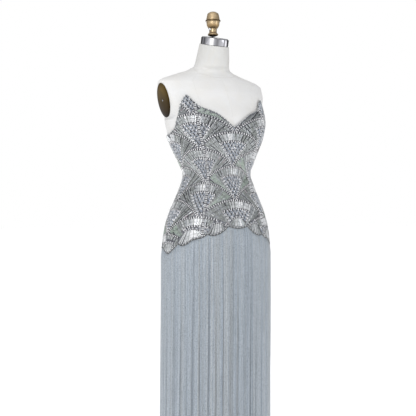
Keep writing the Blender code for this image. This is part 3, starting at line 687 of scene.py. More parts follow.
def plate_painted_rim_shade(made):
    # Painted shade: the plate's colour darkens towards its rim and is lightest part way in, as shade on a
    # dome.
    where = coordinates(made, "Object", (0.92 / PLATE_HALF_WIDTH, 0.80 / PLATE_HALF_HEIGHT, 0.0))
    return ramp(made, gradient(made, where, "SPHERICAL"), (0.08, (0.60, 0.56, 0.50)),
                (0.24, (0.72, 0.70, 0.64)), (0.5, (0.95, 0.94, 0.90)), (0.9, (0.80, 0.78, 0.74)))


def plate_painted_foot_shade(made):
    """Painted light and shade: the plates are painted lighter in their upper part and nearly black at the
    foot.
    """
    up = height_share(made, "Y", -PLATE_HALF_HEIGHT, PLATE_HALF_HEIGHT)
    return ramp(made, up, (0.0, (0.04, 0.03, 0.02)), (0.12, (0.14, 0.12, 0.08)),
                (0.42, (0.32, 0.29, 0.22)), (0.85, 1.0))


def zip_tape_material():
    made = material("zip_tape", (0.36, 0.38, 0.41), 0.7)
    ribs = wave(made, coordinates(made), 0.8 * MM, "Y", 0.5)
    paint(made, ramp(made, ribs, (0.1, (0.27, 0.29, 0.32)), (0.7, (0.42, 0.44, 0.47))))
    bump(made, ribs, 0.1 * MM, 0.5)
    return made


# Meshes.
def unit(vectors):
    return vectors / np.linalg.norm(vectors, axis=-1, keepdims=True)


def grid(rows, columns, closed=False):
    """The quads of a grid of points, with the row and the column of each of their corners."""
    last = columns if closed else columns - 1
    row, column = np.meshgrid(np.arange(rows - 1), np.arange(last), indexing="ij")
    rows_of = np.stack([row, row, row + 1, row + 1], -1).reshape(-1, 4)
    columns_of = np.stack([column, column + 1, column + 1, column], -1).reshape(-1, 4)
    return rows_of * columns + columns_of % columns, rows_of, columns_of


def cap(ring, steps, centre):
    """The quads between a grid's closed row of points and its centre point."""
    here = ring * steps + np.arange(0, steps, 2)
    beyond = ring * steps + np.arange(2, steps + 2, 2) % steps
    return np.stack([here, here + 1, beyond, np.full(len(here), centre)], -1)


def placed(name, mesh):
    made = bpy.data.objects.new(name, mesh)
    bpy.context.scene.collection.objects.link(made)
    return made


def mesh_object(name, points, faces, materials, kinds=None, uv=None, smooth=True):
    """An object of faces that all have as many corners; uv has one pair for each corner."""
    mesh = bpy.data.meshes.new(name)
    mesh.vertices.add(len(points))
    mesh.vertices.foreach_set("co", np.ascontiguousarray(points, np.float32).ravel())
    mesh.loops.add(faces.size)
    mesh.loops.foreach_set("vertex_index", np.ascontiguousarray(faces, np.int32).ravel())
    mesh.polygons.add(len(faces))
    mesh.polygons.foreach_set("loop_start", np.arange(0, faces.size, faces.shape[1], dtype=np.int32))
    for surface in materials:
        mesh.materials.append(surface)
    if kinds is not None:
        mesh.polygons.foreach_set("material_index", np.ascontiguousarray(kinds, np.int32))
    shading = np.broadcast_to(smooth, len(faces))
    mesh.polygons.foreach_set("use_smooth", np.ascontiguousarray(shading, bool))
    if uv is not None:
        layer = mesh.uv_layers.new(name="metres")
        layer.data.foreach_set("uv", np.ascontiguousarray(uv, np.float32).ravel())
    mesh.update(calc_edges=True)
    return placed(name, mesh)


def outward(made):
    """Turn a closed mesh's faces to look out."""
    bm = bmesh.new()
    bm.from_mesh(made.data)
    bmesh.ops.recalc_face_normals(bm, faces=bm.faces)
    bm.to_mesh(made.data)
    bm.free()
    return made


def thin_shell(name, inner, outer, surface, widths, heights):
    """A thin closed wall between two grids of points; widths and heights place them on the cloth."""
    rows, columns = inner.shape[:2]
    count = rows * columns
    faces, rows_of, columns_of = grid(rows, columns)
    place = np.stack(np.broadcast_arrays(widths, heights), -1)
    uv = place[rows_of, columns_of]
    index = np.arange(count).reshape(rows, columns)
    rims = np.concatenate([
        np.stack([line[:-1], line[1:], line[1:] + count, line[:-1] + count], -1)
        for line in (index[0], index[-1], index[:, 0], index[:, -1])
    ])
    every_face = np.concatenate([faces + count, faces[:, ::-1], rims])
    every_uv = np.concatenate([uv, uv[:, ::-1], place.reshape(-1, 2)[rims % count]])
    points = np.concatenate([inner.reshape(-1, 3), outer.reshape(-1, 3)])
    return outward(mesh_object(name, points, every_face, [surface], uv=every_uv))


def lathe(name, outline, surface, steps=96, crease_degrees=35):
    """A body turned round Z from (radius, height) pairs, shut at both ends."""
    bm = bmesh.new()
    rows = []
    for radius, height in outline:
        turns = [math.tau * i / steps for i in range(1 if radius <= 0 else steps)]
        rows.append([bm.verts.new((radius * math.cos(t), radius * math.sin(t), height)) for t in turns])
    for lower, upper in zip(rows, rows[1:]):
        for i in range(steps):
            j = (i + 1) % steps
            ring = [row[k % len(row)] for row, k in ((lower, i), (lower, j), (upper, j), (upper, i))]
            bm.faces.new([point for k, point in enumerate(ring) if point not in ring[:k]])
    for row in (rows[0], rows[-1]):
        if len(row) > 1:
            bm.faces.new(row)
    bmesh.ops.recalc_face_normals(bm, faces=bm.faces)
    mesh = bpy.data.meshes.new(name)
    bm.to_mesh(mesh)
    bm.free()
    mesh.materials.append(surface)
    mesh.shade_smooth()
    mesh.set_sharp_from_angle(angle=math.radians(crease_degrees))
    return placed(name, mesh)


def rounded_outline(corners, radius, steps=5):
    """An outline of (radius, height) corners with each inner corner rounded off."""
    made = [corners[0]]
    for before, corner, after in zip(corners, corners[1:], corners[2:]):
        here = Vector(corner)
        back = Vector(before) - here
        ahead = Vector(after) - here
        reach = min(radius, back.length / 2.2, ahead.length / 2.2)
        start = here + back.normalized() * reach
        end = here + ahead.normalized() * reach
        for i in range(steps + 1):
            u = i / steps
            made.append(tuple(start * (1 - u) ** 2 + here * 2 * u * (1 - u) + end * u * u))
    return made + [corners[-1]]


def settle(made, *nodes, slot):
    """A finished piece rides on the gown's body and stands for its nodes."""
    if nodes:
        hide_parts(*nodes)
    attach(made, BODY)
    return made


# Beads, in joined meshes.
BUGLE = np.array([
    (x, y, z)
    for y in (-0.5, 0.5) for x, z in ((-0.5, 0.0), (-0.3, 0.8), (0.3, 0.8), (0.5, 0.0))
])
BUGLE_FACES = np.array([(0, 1, 5, 4), (1, 2, 6, 5), (2, 3, 7, 6), (0, 3, 2, 1), (4, 5, 6, 7)])
ROUND = np.array([
    (x * size, y * size, z)
    for size, z in ((0.5, 0.0), (0.28, 0.75)) for x, y in ((-1, -1), (1, -1), (1, 1), (-1, 1))
])
ROUND_FACES = np.array([(0, 1, 5, 4), (1, 2, 6, 5), (2, 3, 7, 6), (3, 0, 4, 7), (4, 5, 6, 7)])
BEAD_HEIGHT = 0.8
Beads = namedtuple("Beads", "angle z heading length width kind")


def beads_of(*columns):
    """A set of beads, where a single number stands for all of them."""
    return Beads(*np.broadcast_arrays(*columns))


def gather(*sets):
    """One set of beads from several."""
    return Beads(*[np.concatenate(parts) for parts in zip(*sets)])


def chosen(beads, keep):
    return Beads(*[part[keep] for part in beads])


def bead_mesh(name, beads, materials):
    """Every bead as a small half-round body on the bodice, its heading clockwise from straight up."""
    step = 0.4 * MM
    here = bodice_point(beads.angle, beads.z)
    aside = unit(bodice_point(beads.angle + step / girth_radius(beads.z), beads.z) - here)
    above = unit(bodice_point(beads.angle, beads.z + step) - here)
    normal = unit(np.cross(aside, above))
    along = above * np.cos(beads.heading)[:, None] + aside * np.sin(beads.heading)[:, None]
    across = np.cross(along, normal)
    is_round = beads.length <= 0
    length = np.where(is_round, beads.width, beads.length)[:, None] * MM
    width = beads.width[:, None] * MM
    shape = np.where(is_round[:, None, None], ROUND, BUGLE)
    points = (
        here[:, None]
        + shape[:, :, 0:1] * (across * width)[:, None]
        + shape[:, :, 1:2] * (along * length)[:, None]
        + shape[:, :, 2:3] * (normal * width * BEAD_HEIGHT)[:, None]
    )
    faces = np.where(is_round[:, None, None], ROUND_FACES, BUGLE_FACES)
    faces = faces + (np.arange(len(here)) * len(BUGLE))[:, None, None]
    kinds = np.repeat(beads.kind, len(BUGLE_FACES))
    smooth = np.repeat(is_round, len(BUGLE_FACES))
    return mesh_object(name, points.reshape(-1, 3), faces.reshape(-1, 4), materials, kinds, smooth=smooth)


def kind(name):
    return KINDS.index(name)


def tone_kinds(level):
    """Kinds of bead for an array of tones, from dark to light."""
    kinds = np.full(level.shape, kind("dark"))
    for tone in BAND_TONES:
        kinds = np.where(level > tone.above, kind(tone.kind), kinds)
    return kinds


def shade_kinds(number, *shades):
    return np.array([kind(shade) for shade in shades])[number % len(shades)]


def fan_limit(share):
    """How far round a fan shows at a share of its radius, where the two fans below cut it off."""
    return FAN_SIDE + math.asin(share / 2)


def bead_rows(share, theta, length, width, kinds):
    """Beads of one fan about its foot, as rows of (x, y, heading, length, width, kind) in millimetres."""
    share, theta, length, width, kinds = np.broadcast_arrays(share, theta, length, width, kinds)
    radius = share * FAN_RADIUS
    return np.stack([radius * np.sin(theta), radius * np.cos(theta), theta, length, width, kinds], -1)


def fan_arc(row):
    """One row of beads along an arc."""
    radius = row.share * FAN_RADIUS
    reach = min(fan_limit(row.share), math.radians(row.reach)) - 0.5 * row.pitch / radius
    count = max(2, round(2 * reach * radius / row.pitch))
    kinds = shade_kinds(np.arange(count), "white", "dark")
    return bead_rows(row.share, np.linspace(-reach, reach, count), row.length, row.width, kinds)


def fan_band(source):
    """The long radial bugles, lightest near a line that differs a little from fan to fan."""
    lines = np.linspace(-1, 1, BAND_LINES) * (fan_limit(BAND_MIDDLE) - math.radians(1.0))
    brightest = source.uniform(-0.22, 0.22)
    peak = source.uniform(0.70, 0.94)
    green_sides = source.random(2) < 0.5
    parts = []
    for number, theta in enumerate(lines):
        flank = abs(theta) > CORE_ANGLE
        start = BAND_INNER
        if flank:
            start = max(2 * math.sin(max(0.0, abs(theta) - FAN_SIDE)) + FLANK_START, FLANK_LOWEST)
        if start > BAND_OUTER - SHORTEST_LINE:
            continue
        pieces = math.ceil((BAND_OUTER - start) * FAN_RADIUS / BUGLE_LONGEST)
        edges = np.linspace(start, BAND_OUTER, pieces + 1)
        middle = (edges[1:] + edges[:-1]) / 2
        length = (edges[1] - edges[0]) * FAN_RADIUS - 0.3
        level = max(BAND_DARKEST, peak - BAND_FADE * abs(theta - brightest)) + source.normal(0, 0.12)
        level += LINE_TONES[number % 3] + source.normal(0, 0.04, pieces)
        outermost = abs(theta) > GREEN_FROM * fan_limit(BAND_MIDDLE) and green_sides[int(theta > 0)]
        kinds = tone_kinds(level)
        kinds = np.where(outermost & (source.random(pieces) < GREEN_SHARE), kind("green"), kinds)
        kinds = np.where(flank & (source.random(pieces) < PINK_SHARE), kind("pink"), kinds)
        width = BAND_WIDTH * (0.45 + 0.55 * middle / BAND_MIDDLE)
        parts.append(bead_rows(middle, theta, length, width, kinds))
    return np.concatenate(parts)


def fan_core(source):
    """The core: rows of small round beads, light ones scattered among blue-grey, and its two side lines."""
    parts = []
    for number, share in enumerate(np.arange(CORE_LAST, CORE_FIRST, -CORE_STEP)):
        reach = CORE_ANGLE - 1.1 * CORE_PITCH / (share * FAN_RADIUS)
        if reach > 0:
            count = max(1, round(2 * reach * share * FAN_RADIUS / CORE_PITCH))
            theta = np.linspace(-reach, reach, count) if count > 1 else np.zeros(1)
            kinds = shade_kinds(np.arange(count) + number, *CORE_SHADES[number % len(CORE_SHADES)])
            chance = source.random(count)
            kinds = np.select([chance < 0.07, chance < 0.14], [kind("white"), kind("silver")], default=kinds)
            parts.append(bead_rows(share, theta, 0.0, CORE_BEAD, kinds))
    shares = np.arange(CORE_FIRST, CORE_LAST, CORE_PITCH / FAN_RADIUS)
    kinds = shade_kinds(np.arange(len(shares)), "white", "white", "dark")
    for side in (-1, 1):
        parts.append(bead_rows(shares, side * CORE_ANGLE, 0.0, 2.7, kinds))
    return np.concatenate(parts)


def fan(source):
    """All the beads of one fan about its foot, sewn a little unevenly."""
    beads = np.concatenate([fan_arc(row) for row in FAN_ROWS] + [fan_band(source), fan_core(source)])
    count = len(beads)
    beads[:, 0:2] += source.normal(0, 0.16, (count, 2))
    is_long = beads[:, 3] > LONG_BUGLE
    beads[:, 2] += np.where(is_long, source.normal(0, 0.012, count), source.normal(0, 0.07, count))
    return beads


def fan_beads():
    """The fans over the whole bodice."""
    source = np.random.default_rng(5)
    sets = []
    for column in range(FAN_COLUMNS):
        drop = FAN_DROP / 2 if column % 2 else 0.0
        for step in range(-3, 3):
            x, y, theta, length, width, kinds = fan(source).T
            z = FAN_FOOT_Z - drop + step * FAN_DROP + y * MM
            angle = column * FAN_TURN + x / FAN_ACROSS * FAN_TURN
            stretch = girth_radius(z) * FAN_TURN / (FAN_ACROSS * MM)
            heading = np.arctan2(stretch * np.sin(theta), np.cos(theta))
            wider = np.hypot(stretch * np.cos(theta), np.sin(theta))
            width = width * np.where(length > LONG_BUGLE, np.clip(wider, 0.85, 1.4), np.clip(wider, 0.9, 1.1))
            sets.append(Beads(angle, z, heading, length, width, kinds.astype(int)))
    return gather(*sets)


def edge_row(edge, offset, pitch, width, *shades):
    """A row of round beads along an edge of the bodice; offset is how far above it they lie."""
    fine = np.linspace(-np.pi, np.pi, 8000)
    line = bodice_point(fine, edge(fine) + offset)
    run = np.concatenate([[0.0], np.cumsum(np.linalg.norm(np.diff(line, axis=0), axis=1))])
    number = np.arange(int(run[-1] / pitch))
    angle = np.interp(number * pitch, run, fine)
    step = 0.004
    rise = (edge(angle + step) - edge(angle - step)) / (2 * step * girth_radius(edge(angle)))
    heading = -np.arctan(rise) * 0.8
    return beads_of(angle, edge(angle) + offset, heading, 0.0, width, shade_kinds(number, *shades))


def seam_row(degrees, offset, *shades):
    """A row of round beads beside a seam, all the way from the lower edge to the top; offset is sideways."""
    angle = math.radians(degrees)
    low = float(lower_edge(angle)) + SEAM_BEADS_ABOVE
    z = np.arange(low, float(top_edge(angle)) - SEAM_BEADS_BELOW, SEAM_BEADS_PITCH)
    kinds = shade_kinds(np.arange(len(z)), *shades)
    return beads_of(angle + offset / girth_radius(z), z, 0.0, 0.0, 2.8, kinds)


def lobes_round():
    """The lobes all round the lower edge: the middle of each, half its angle, and the foot of its fan."""
    ends = [math.radians(column * COLUMN_DEGREES) for column in LOBE_ENDS[1:-1]]
    around = [-end for end in reversed(ends)] + ends + [math.tau - ends[-1]]
    for first, last in zip(around, around[1:]):
        middle = (first + last) / 2
        yield middle, (last - first) / 2, float(lower_edge(middle)) + LOBE_FAN_MARGIN


def lobe_fans():
    """A small fan in each lobe, its bugles spreading downwards, with an arc of beads over them."""
    source = np.random.default_rng(9)
    sets = []
    for middle, half_turn, foot in lobes_round():
        radius = girth_radius(foot)
        half = half_turn * radius - 2.5 * MM
        across = np.arange(-half, half + 1e-6, LOBE_FAN_PITCH)
        count = len(across)
        low_z = lower_edge(middle + across / radius) + LOBE_FAN_MARGIN
        high_z = foot + LOBE_FAN_HEIGHT - LOBE_FAN_ARC * (across / half) ** 2
        inward = across * (LOBE_FAN_TOP - 1)
        level = 0.74 - 0.40 * np.abs(across / half) + source.normal(0, 0.17, count)
        kinds = tone_kinds(level + LINE_TONES[np.arange(count) % 3])
        heading = np.arctan2(inward, high_z - low_z)
        length = np.hypot(inward, high_z - low_z) / 2 / MM - 0.4
        for place in (0.25, 0.75):
            x = across + inward * place
            z = low_z + (high_z - low_z) * place
            sets.append(beads_of(middle + x / radius, z, heading, length, 2.6 - 1.1 * place, kinds))
        for rise, shades in ((2.6, ("white", "dark")), (5.8, ("silver", "white", "blue", "dark"))):
            reach = half * LOBE_FAN_TOP + rise * 0.6 * MM
            x = np.arange(-reach, reach, 3.0 * MM)
            z = foot + LOBE_FAN_HEIGHT + rise * MM - LOBE_FAN_ARC * (x / reach) ** 2
            over = shade_kinds(np.arange(len(x)), *shades)
            sets.append(beads_of(middle + x / radius, z, 0.0, 0.0, 2.7, over))
    return gather(*sets)


def under_lobe_fans(beads, spare):
    """Which beads would lie where the lobes' small fans are, with some spare room round them."""
    covered = np.zeros(len(beads.z), bool)
    for middle, half_turn, foot in lobes_round():
        half = half_turn * girth_radius(foot)
        aside = np.abs(apart(beads.angle, middle)) * girth_radius(foot)
        share = np.clip((beads.z - foot) / LOBE_FAN_HEIGHT, 0, 1)
        reach = half * (1 + (LOBE_FAN_TOP - 1) * share) + spare
        arc = foot + LOBE_FAN_HEIGHT + 8.5 * MM - LOBE_FAN_ARC * (aside / (half * LOBE_FAN_TOP)) ** 2
        covered |= (aside < reach) & (beads.z < arc + spare)
    return covered


def edging_beads():
    """The rows that bind the top edge, the darker ones along the lower edge, and those by the seams."""
    return gather(
        edge_row(top_edge, -1.5 * MM, 2.9 * MM, 2.6, "silver", "mid", "white", "mid"),
        edge_row(lower_edge, 1.3 * MM, 2.7 * MM, 2.6, "dark", "dark", "dark", "mid"),
        edge_row(lower_edge, 4.3 * MM, 2.7 * MM, 2.5, "silver", "dark", "white", "mid"),
        *[seam_row(degrees, offset, "white", "dark", "white", "silver")
          for degrees in (-PRINCESS, PRINCESS) for offset in (-SEAM_BEADS_ASIDE, SEAM_BEADS_ASIDE)],
    )


def half_across(beads):
    """Half of how far each bead reaches sideways."""
    return np.maximum(beads.length * np.abs(np.sin(beads.heading)), beads.width) / 2 * MM


def all_beads():
    """The fans where nothing else is sewn, the lobes' fans and the edging."""
    fans = fan_beads()
    half = np.maximum(fans.length, fans.width) / 2 * MM * np.abs(np.cos(fans.heading)) + 0.8 * MM
    above_edge = fans.z - half > lower_edge(fans.angle) + LOWER_MARGIN
    below_top = fans.z + half < top_edge(fans.angle) - TOP_MARGIN
    keep = above_edge & below_top
    for seam in (-PRINCESS, PRINCESS):
        away = np.abs(apart(fans.angle, math.radians(seam))) * girth_radius(fans.z)
        keep &= away > SEAM_BEADS_HALF + half_across(fans)
    keep &= ~under_lobe_fans(fans, 2.0 * MM)
    return gather(chosen(fans, keep), lobe_fans(), edging_beads())


def cloth_grid(first, last, columns, rows, low, high, gaps):
    """Angles and heights all over a panel, from edge to edge, with the gaps that its sides keep."""
    turn = np.linspace(first, last, columns)[None, :]
    z = low(turn) + (high(turn) - low(turn)) * np.linspace(0, 1, rows)[:, None]
    inset = np.zeros(columns)
    inset[0], inset[-1] = gaps[0], -gaps[1]
    return turn + inset / girth_radius(z), z


def bodice():
    """The five panels as thin shells, each with its own beads."""
    cloth = seeded_cloth_material()
    materials = [bead_material(*look) for look in BEAD_LOOKS]
    beads = all_beads()
    degrees = np.degrees(apart(beads.angle))
    radius = girth_radius(beads.z)
    side = half_across(beads)
    for panel in PANELS:
        columns = round((panel.last - panel.first) / SHELL_STEP_DEGREES) + 1
        span = np.radians([panel.first, panel.last])
        angle, z = cloth_grid(*span, columns, SHELL_ROWS, lower_edge, top_edge, panel.gaps)
        inner = figure(angle, z, bodice_out_at(z))
        outer = bodice_point(angle, z)
        shell = thin_shell(panel.name + "_cloth", inner, outer, cloth, angle * girth_radius(z), z)
        settle(shell, panel.name, slot="beaded_bodice")
        room = np.radians(degrees - panel.first) * radius - panel.gaps[0]
        left = np.radians(panel.last - degrees) * radius - panel.gaps[1]
        beading = bead_mesh(panel.name + "_beads", chosen(beads, (room > side) & (left > side)), materials)
        settle(beading, slot="beaded_bodice")


# The fringe and the underskirt.
def parting_pull(base, share):
    """How far strands at a base angle lean away from the partings, at a share of the way down."""
    pull = np.zeros_like(base)
    height = 0.86 - 0.83 * share
    for parting in PARTINGS:
        away = apart(base, math.radians(parting.degrees))
        open_share = np.clip((parting.opens - height) / PARTING_SOFT, 0, 1)
        push = math.radians(parting.width * PARTING_PUSH) * open_share * np.exp(-(away / PARTING_REACH) ** 2)
        pull += np.sign(away) * push * np.clip(np.abs(away) / math.radians(0.25), 0, 1)
        pull += math.radians(parting.lean * PARTING_LEAN) * share * np.exp(-(away / (3 * PARTING_REACH)) ** 2)
    return pull


def streak(base, seed, waves):
    """A slow uneven tone round the skirt, about 0 with a spread of 1."""
    source = np.random.default_rng(seed)
    tone = np.zeros_like(base)
    for turns in waves:
        tone += np.sin(turns * base + source.uniform(0, math.tau)) * source.uniform(0.6, 1.2)
    return tone / math.sqrt(len(waves))


def fringe_part(name, first, last, materials):
    """One length of fringe: strands of fine beads in layers, from under the bodice's edge to the hem."""
    source = np.random.default_rng(11)
    quads, rows_of, columns_of = grid(len(STRAND_SHARES), STRAND_SIDES, closed=True)
    per_strand = len(STRAND_SHARES) * STRAND_SIDES
    foot = np.arange(STRAND_SIDES)
    caps = np.stack([foot[::-1], foot + per_strand - STRAND_SIDES])
    corners = math.tau * (np.arange(STRAND_SIDES) + 0.5) / STRAND_SIDES
    points, faces, uvs, kinds = [], [], [], []
    start = 0
    for layer in FRINGE_LAYERS:
        count = layer.strands
        pitch = (last - first) / count
        base = first + pitch * (np.arange(count) + 0.5)
        base = base + source.uniform(-0.5, 0.5, count) * layer.jitter * pitch
        depth = source.uniform(-0.35, 0.35, (count, 1)) * MM
        root = lower_edge(base) + 1.0 * MM
        end = FRINGE_END + source.uniform(0.6, 7.0, count) * MM
        sway = source.uniform(-1, 1, (count, 1))
        z = root[:, None] + (end - root)[:, None] * STRAND_SHARES
        out = np.minimum(layer.out, STRIP_OUT + (layer.out - STRIP_OUT) * STRAND_SHARES / 0.03)
        out = out + depth * np.clip(STRAND_SHARES * 6, 0, 1)
        pull = np.stack([parting_pull(base, share) for share in STRAND_SHARES], 1)
        lean = sway * math.radians(0.22) * np.sin(STRAND_SHARES * 2.4 + sway * 3)
        angle = base[:, None] + pull + lean
        centre = figure(angle, z, out)
        aside = unit(figure(angle + 0.5 * MM / girth_radius(z), z, out) - centre)
        away = np.stack([aside[..., 1], -aside[..., 0], np.zeros_like(z)], -1)
        radius = layer.radius * (1 + 0.12 * sway)[..., None]
        ring = [centre + (aside * math.cos(corner) + away * math.sin(corner)) * radius for corner in corners]
        points.append(np.stack(ring, 2).reshape(-1, 3))
        offsets = (start + np.arange(count) * per_strand)[:, None, None]
        faces += [(quads + offsets).reshape(-1, 4), (caps + offsets).reshape(-1, 4)]
        along = z[:, rows_of] + source.uniform(0, 1, (count, 1, 1))
        around = base[:, None, None] * UV_GIRTH + columns_of * 0.8 * MM
        cap_uv = np.repeat(np.stack([base * UV_GIRTH, root], -1), 8, axis=0)
        uvs += [np.stack([around, along], -1).reshape(-1, 4, 2), cap_uv.reshape(-1, 4, 2)]
        tone = streak(base, 7, (5, 9, 14, 23, 37)) * 0.5 + source.normal(0, 0.75, count)
        shade = np.select([tone < -1.55, tone < -0.35, tone < 0.75, tone < 1.35], [3, 1, 0, 4], default=2)
        kinds += [np.repeat(shade, len(quads)), np.repeat(shade, len(caps))]
        start += count * per_strand
    points, faces, kinds, uvs = [np.concatenate(parts) for parts in (points, faces, kinds, uvs)]
    return mesh_object(name, points, faces, materials, kinds, uvs)


def strip_part(name, first, last, surface):
    """The narrow strip that the strands hang from, below the bodice's edge."""
    turn = np.linspace(first, last, 240)[None, :]
    z = lower_edge(turn) - np.linspace(0.5, 8.5, 4)[:, None] * MM
    angle = np.broadcast_to(turn, z.shape)
    inner = figure(angle, z, STRIP_OUT)
    outer = figure(angle, z, STRIP_OUT + 0.9 * MM)
    return thin_shell(name, inner, outer, surface, angle * girth_radius(z), z)


def fringe_side(half, lining, strand_materials):
    """One length of fringe and the strip that it hangs from."""
    last = half.first + math.pi
    strands = fringe_part(f"fringe_{half.side}_strands", half.first, last, strand_materials)
    settle(strands, f"fringe_{half.side}", slot="fringe")
    strip = strip_part(f"fringe_{half.side}_strip", half.first, last, lining)
    settle(strip, slot="fringe")
    return [strands, strip]


def underskirt_side(half, hung, lining):
    """Half of the underskirt, with soft upright folds that deepen towards the hem."""
    angle, z = cloth_grid(
        half.first, half.first + math.pi, SKIRT_COLUMNS, SKIRT_ROWS,
        lambda turn: SKIRT_HEM, lambda turn: lower_edge(turn) + SKIRT_OVERLAP, (SEAM_GAP, SEAM_GAP))
    waver = streak(angle, 21, (SKIRT_FOLDS, SKIRT_FOLDS + 8, SKIRT_FOLDS - 9)) * 0.5
    fold = -SKIRT_FOLD_DEPTH * np.clip((0.80 - z) / 0.6, 0, 1) * np.clip(0.5 + 0.5 * waver, 0, 1)
    outer = figure(angle, z, SKIRT_OUT + SKIRT_THICK + fold)
    inner = figure(angle, z, SKIRT_OUT + SKIRT_THICK - SKIRT_CLOTH + fold)
    shell = thin_shell(f"underskirt_{half.side}_cloth", inner, outer, lining, angle * girth_radius(z), z)
    settle(shell, f"underskirt_{half.side}", slot="lining")
    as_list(hung)


def skirt(lining):
    """The two lengths of fringe, then the halves of the underskirt that they hang over."""
    strand_materials = [strand_material(*look) for look in STRAND_LOOKS]
    fringes = [fringe_side(half, lining, strand_materials) for half in SKIRT_HALVES]
    for half, hung in zip(SKIRT_HALVES, fringes):
        underskirt_side(half, hung, lining)


# The dress form.
def form(canvas):
    """The canvas body, finer than its solid and on the same surface, with a rounded lower edge."""
    around = FORM_STEPS
    turn = np.linspace(0, math.tau, around, endpoint=False)
    heights = np.concatenate([
        np.linspace(FORM_BOTTOM + FORM_EDGE_ROUND, 1.340, 90),
        np.linspace(1.340, 1.440, 60)[1:],
        np.linspace(1.440, FORM_TOP, 14)[1:],
    ])
    rings = [figure(turn, FORM_BOTTOM, -FORM_EDGE_ROUND)]
    for bend in np.radians([64, 48, 32, 16]):
        z = FORM_BOTTOM + FORM_EDGE_ROUND * (1 - math.sin(bend))
        rings.append(figure(turn, z, -FORM_EDGE_ROUND * (1 - math.cos(bend))))
    rings = np.concatenate([rings, figure(turn[None, :], heights[:, None], 0.0, FORM_BUST_SHARE)])
    rows = len(rings)
    faces, rows_of, columns_of = grid(rows, around, closed=True)
    uv = np.stack([columns_of * (math.tau * CANVAS_GIRTH / around), rings[:, 0, 2][rows_of]], -1)
    points = np.concatenate([rings.reshape(-1, 3), [rings[0].mean(axis=0), rings[-1].mean(axis=0)]])
    ends = np.concatenate([cap(0, around, rows * around), cap(rows - 1, around, rows * around + 1)])
    made = mesh_object(
        "form_canvas", points, np.concatenate([faces, ends]), [canvas],
        uv=np.concatenate([uv, points[ends][..., :2]]))
    outward(made)
    made.data.set_sharp_from_angle(angle=math.radians(50))
    settle(made, "form_torso", slot="canvas")


def seam_tube(name, line, radius, surface, closed=False):
    """A fine raised line of thread along points."""
    count = len(line)
    sides = 6
    ahead = np.roll(line, -1, 0) - np.roll(line, 1, 0)
    if not closed:
        ahead[0] = line[1] - line[0]
        ahead[-1] = line[-1] - line[-2]
    side = unit(np.cross(unit(ahead), (0.31, 0.17, 0.93)))
    up = np.cross(side, unit(ahead))
    turn = (np.arange(sides) * math.tau / sides)[None, :, None]
    ring = line[:, None] + radius * (side[:, None] * np.cos(turn) + up[:, None] * np.sin(turn))
    faces, _, _ = grid(count, sides, closed=True)
    if closed:
        last = (count - 1) * sides
        j = np.arange(sides)
        bridge = np.stack([last + j, last + (j + 1) % sides, (j + 1) % sides, j], -1)
        faces = np.concatenate([faces, bridge])
    return settle(mesh_object(name, ring.reshape(-1, 3), faces, [surface]), slot="canvas")


def form_seams(thread):
    """The form's seams: round the neck's base, down the centre front and back, and the princess lines."""
    turn = np.linspace(0, math.tau, 160, endpoint=False)
    neck_z = NECK_SEAM_BACK - (NECK_SEAM_BACK - NECK_SEAM_FRONT) * (0.5 + 0.5 * np.cos(turn)) ** 6
    seam_tube("form_seam_neck", figure(turn, neck_z, 0.1 * MM), 0.7 * MM, thread, closed=True)
    for seam in FORM_SEAMS:
        z = np.linspace(seam.top, SEAM_FOOT, 120)
        line = figure(math.radians(seam.degrees), z, 0.0, FORM_BUST_SHARE)
        seam_tube(f"form_seam_{seam.name}", line, 0.35 * MM, thread)


def neck_frame(rise):
    """The tilted place of a fitting on the neck, at a rise above its cut."""
    tilt = Matrix.Rotation(NECK_TILT, 4, "X")
    return Matrix.Translation((0, NECK_CENTRE_Y, FORM_TOP)) @ tilt @ Matrix.Translation((0, 0, rise))


def repaint(name, surface):
    """Give a carried-over node another material."""
    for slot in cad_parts[name].material_slots:
        slot.material = surface


def neck_fittings(chrome, brass, steel, satin):
    ring_outline = rounded_outline(
        ((RING_RADIUS - 3 * MM, 0.0), (RING_RADIUS - RING_LIP, 0.0), (RING_RADIUS, RING_LIP),
         (RING_RADIUS, RING_HEIGHT - RING_LIP), (RING_RADIUS - RING_LIP, RING_HEIGHT), (0.0, RING_HEIGHT)),
        0.8 * MM)
    ring = lathe("neck_ring_chrome", ring_outline, chrome_material("ring_chrome", RING_PAINTED_REFLECTIONS), 128)
    ring.matrix_world = neck_frame(GAP)
    settle(ring, "neck_ring", slot="chrome")
    cap_outline = rounded_outline(
        ((CAP_RADIUS, 0.0), (CAP_RADIUS, CAP_HEIGHT * 0.5), (CAP_RADIUS - CAP_HEIGHT, CAP_HEIGHT),
         (0.0, CAP_HEIGHT)),
        0.5 * MM)
    neck_cap = lathe("neck_cap_steel", cap_outline, satin)
    neck_cap.matrix_world = neck_frame(GAP + RING_HEIGHT + GAP)
    settle(neck_cap, "neck_cap", slot="dark_steel")
    turn_at = smooth_curve(FINIAL_TURNS)
    heights = np.concatenate([np.linspace(0, 76, 115), np.linspace(76, FINIAL_HEIGHT, 12)[1:]])
    outline = [(float(turn_at(height)) * MM, FINIAL_BOTTOM + height * MM) for height in heights]
    settle(lathe("neck_finial_brass", outline, brass, 96, 60), "neck_finial", slot="brass")
    lifts = np.radians(np.linspace(-90, 90, 25))[1:-1]
    ball = [(SCREW_RADIUS * math.cos(lift), SCREW_RADIUS * math.sin(lift)) for lift in lifts]
    screw = lathe("finial_screw_ball", [(0.0, -SCREW_RADIUS), *ball, (0.0, SCREW_RADIUS)], chrome, 48, 60)
    reach = STEM_RADIUS + GAP + SCREW_RADIUS
    screw.location = (reach * math.cos(SCREW_ANGLE), reach * math.sin(SCREW_ANGLE), SCREW_Z)
    settle(screw, "finial_screw", slot="chrome")
    repaint("finial_rod", steel)


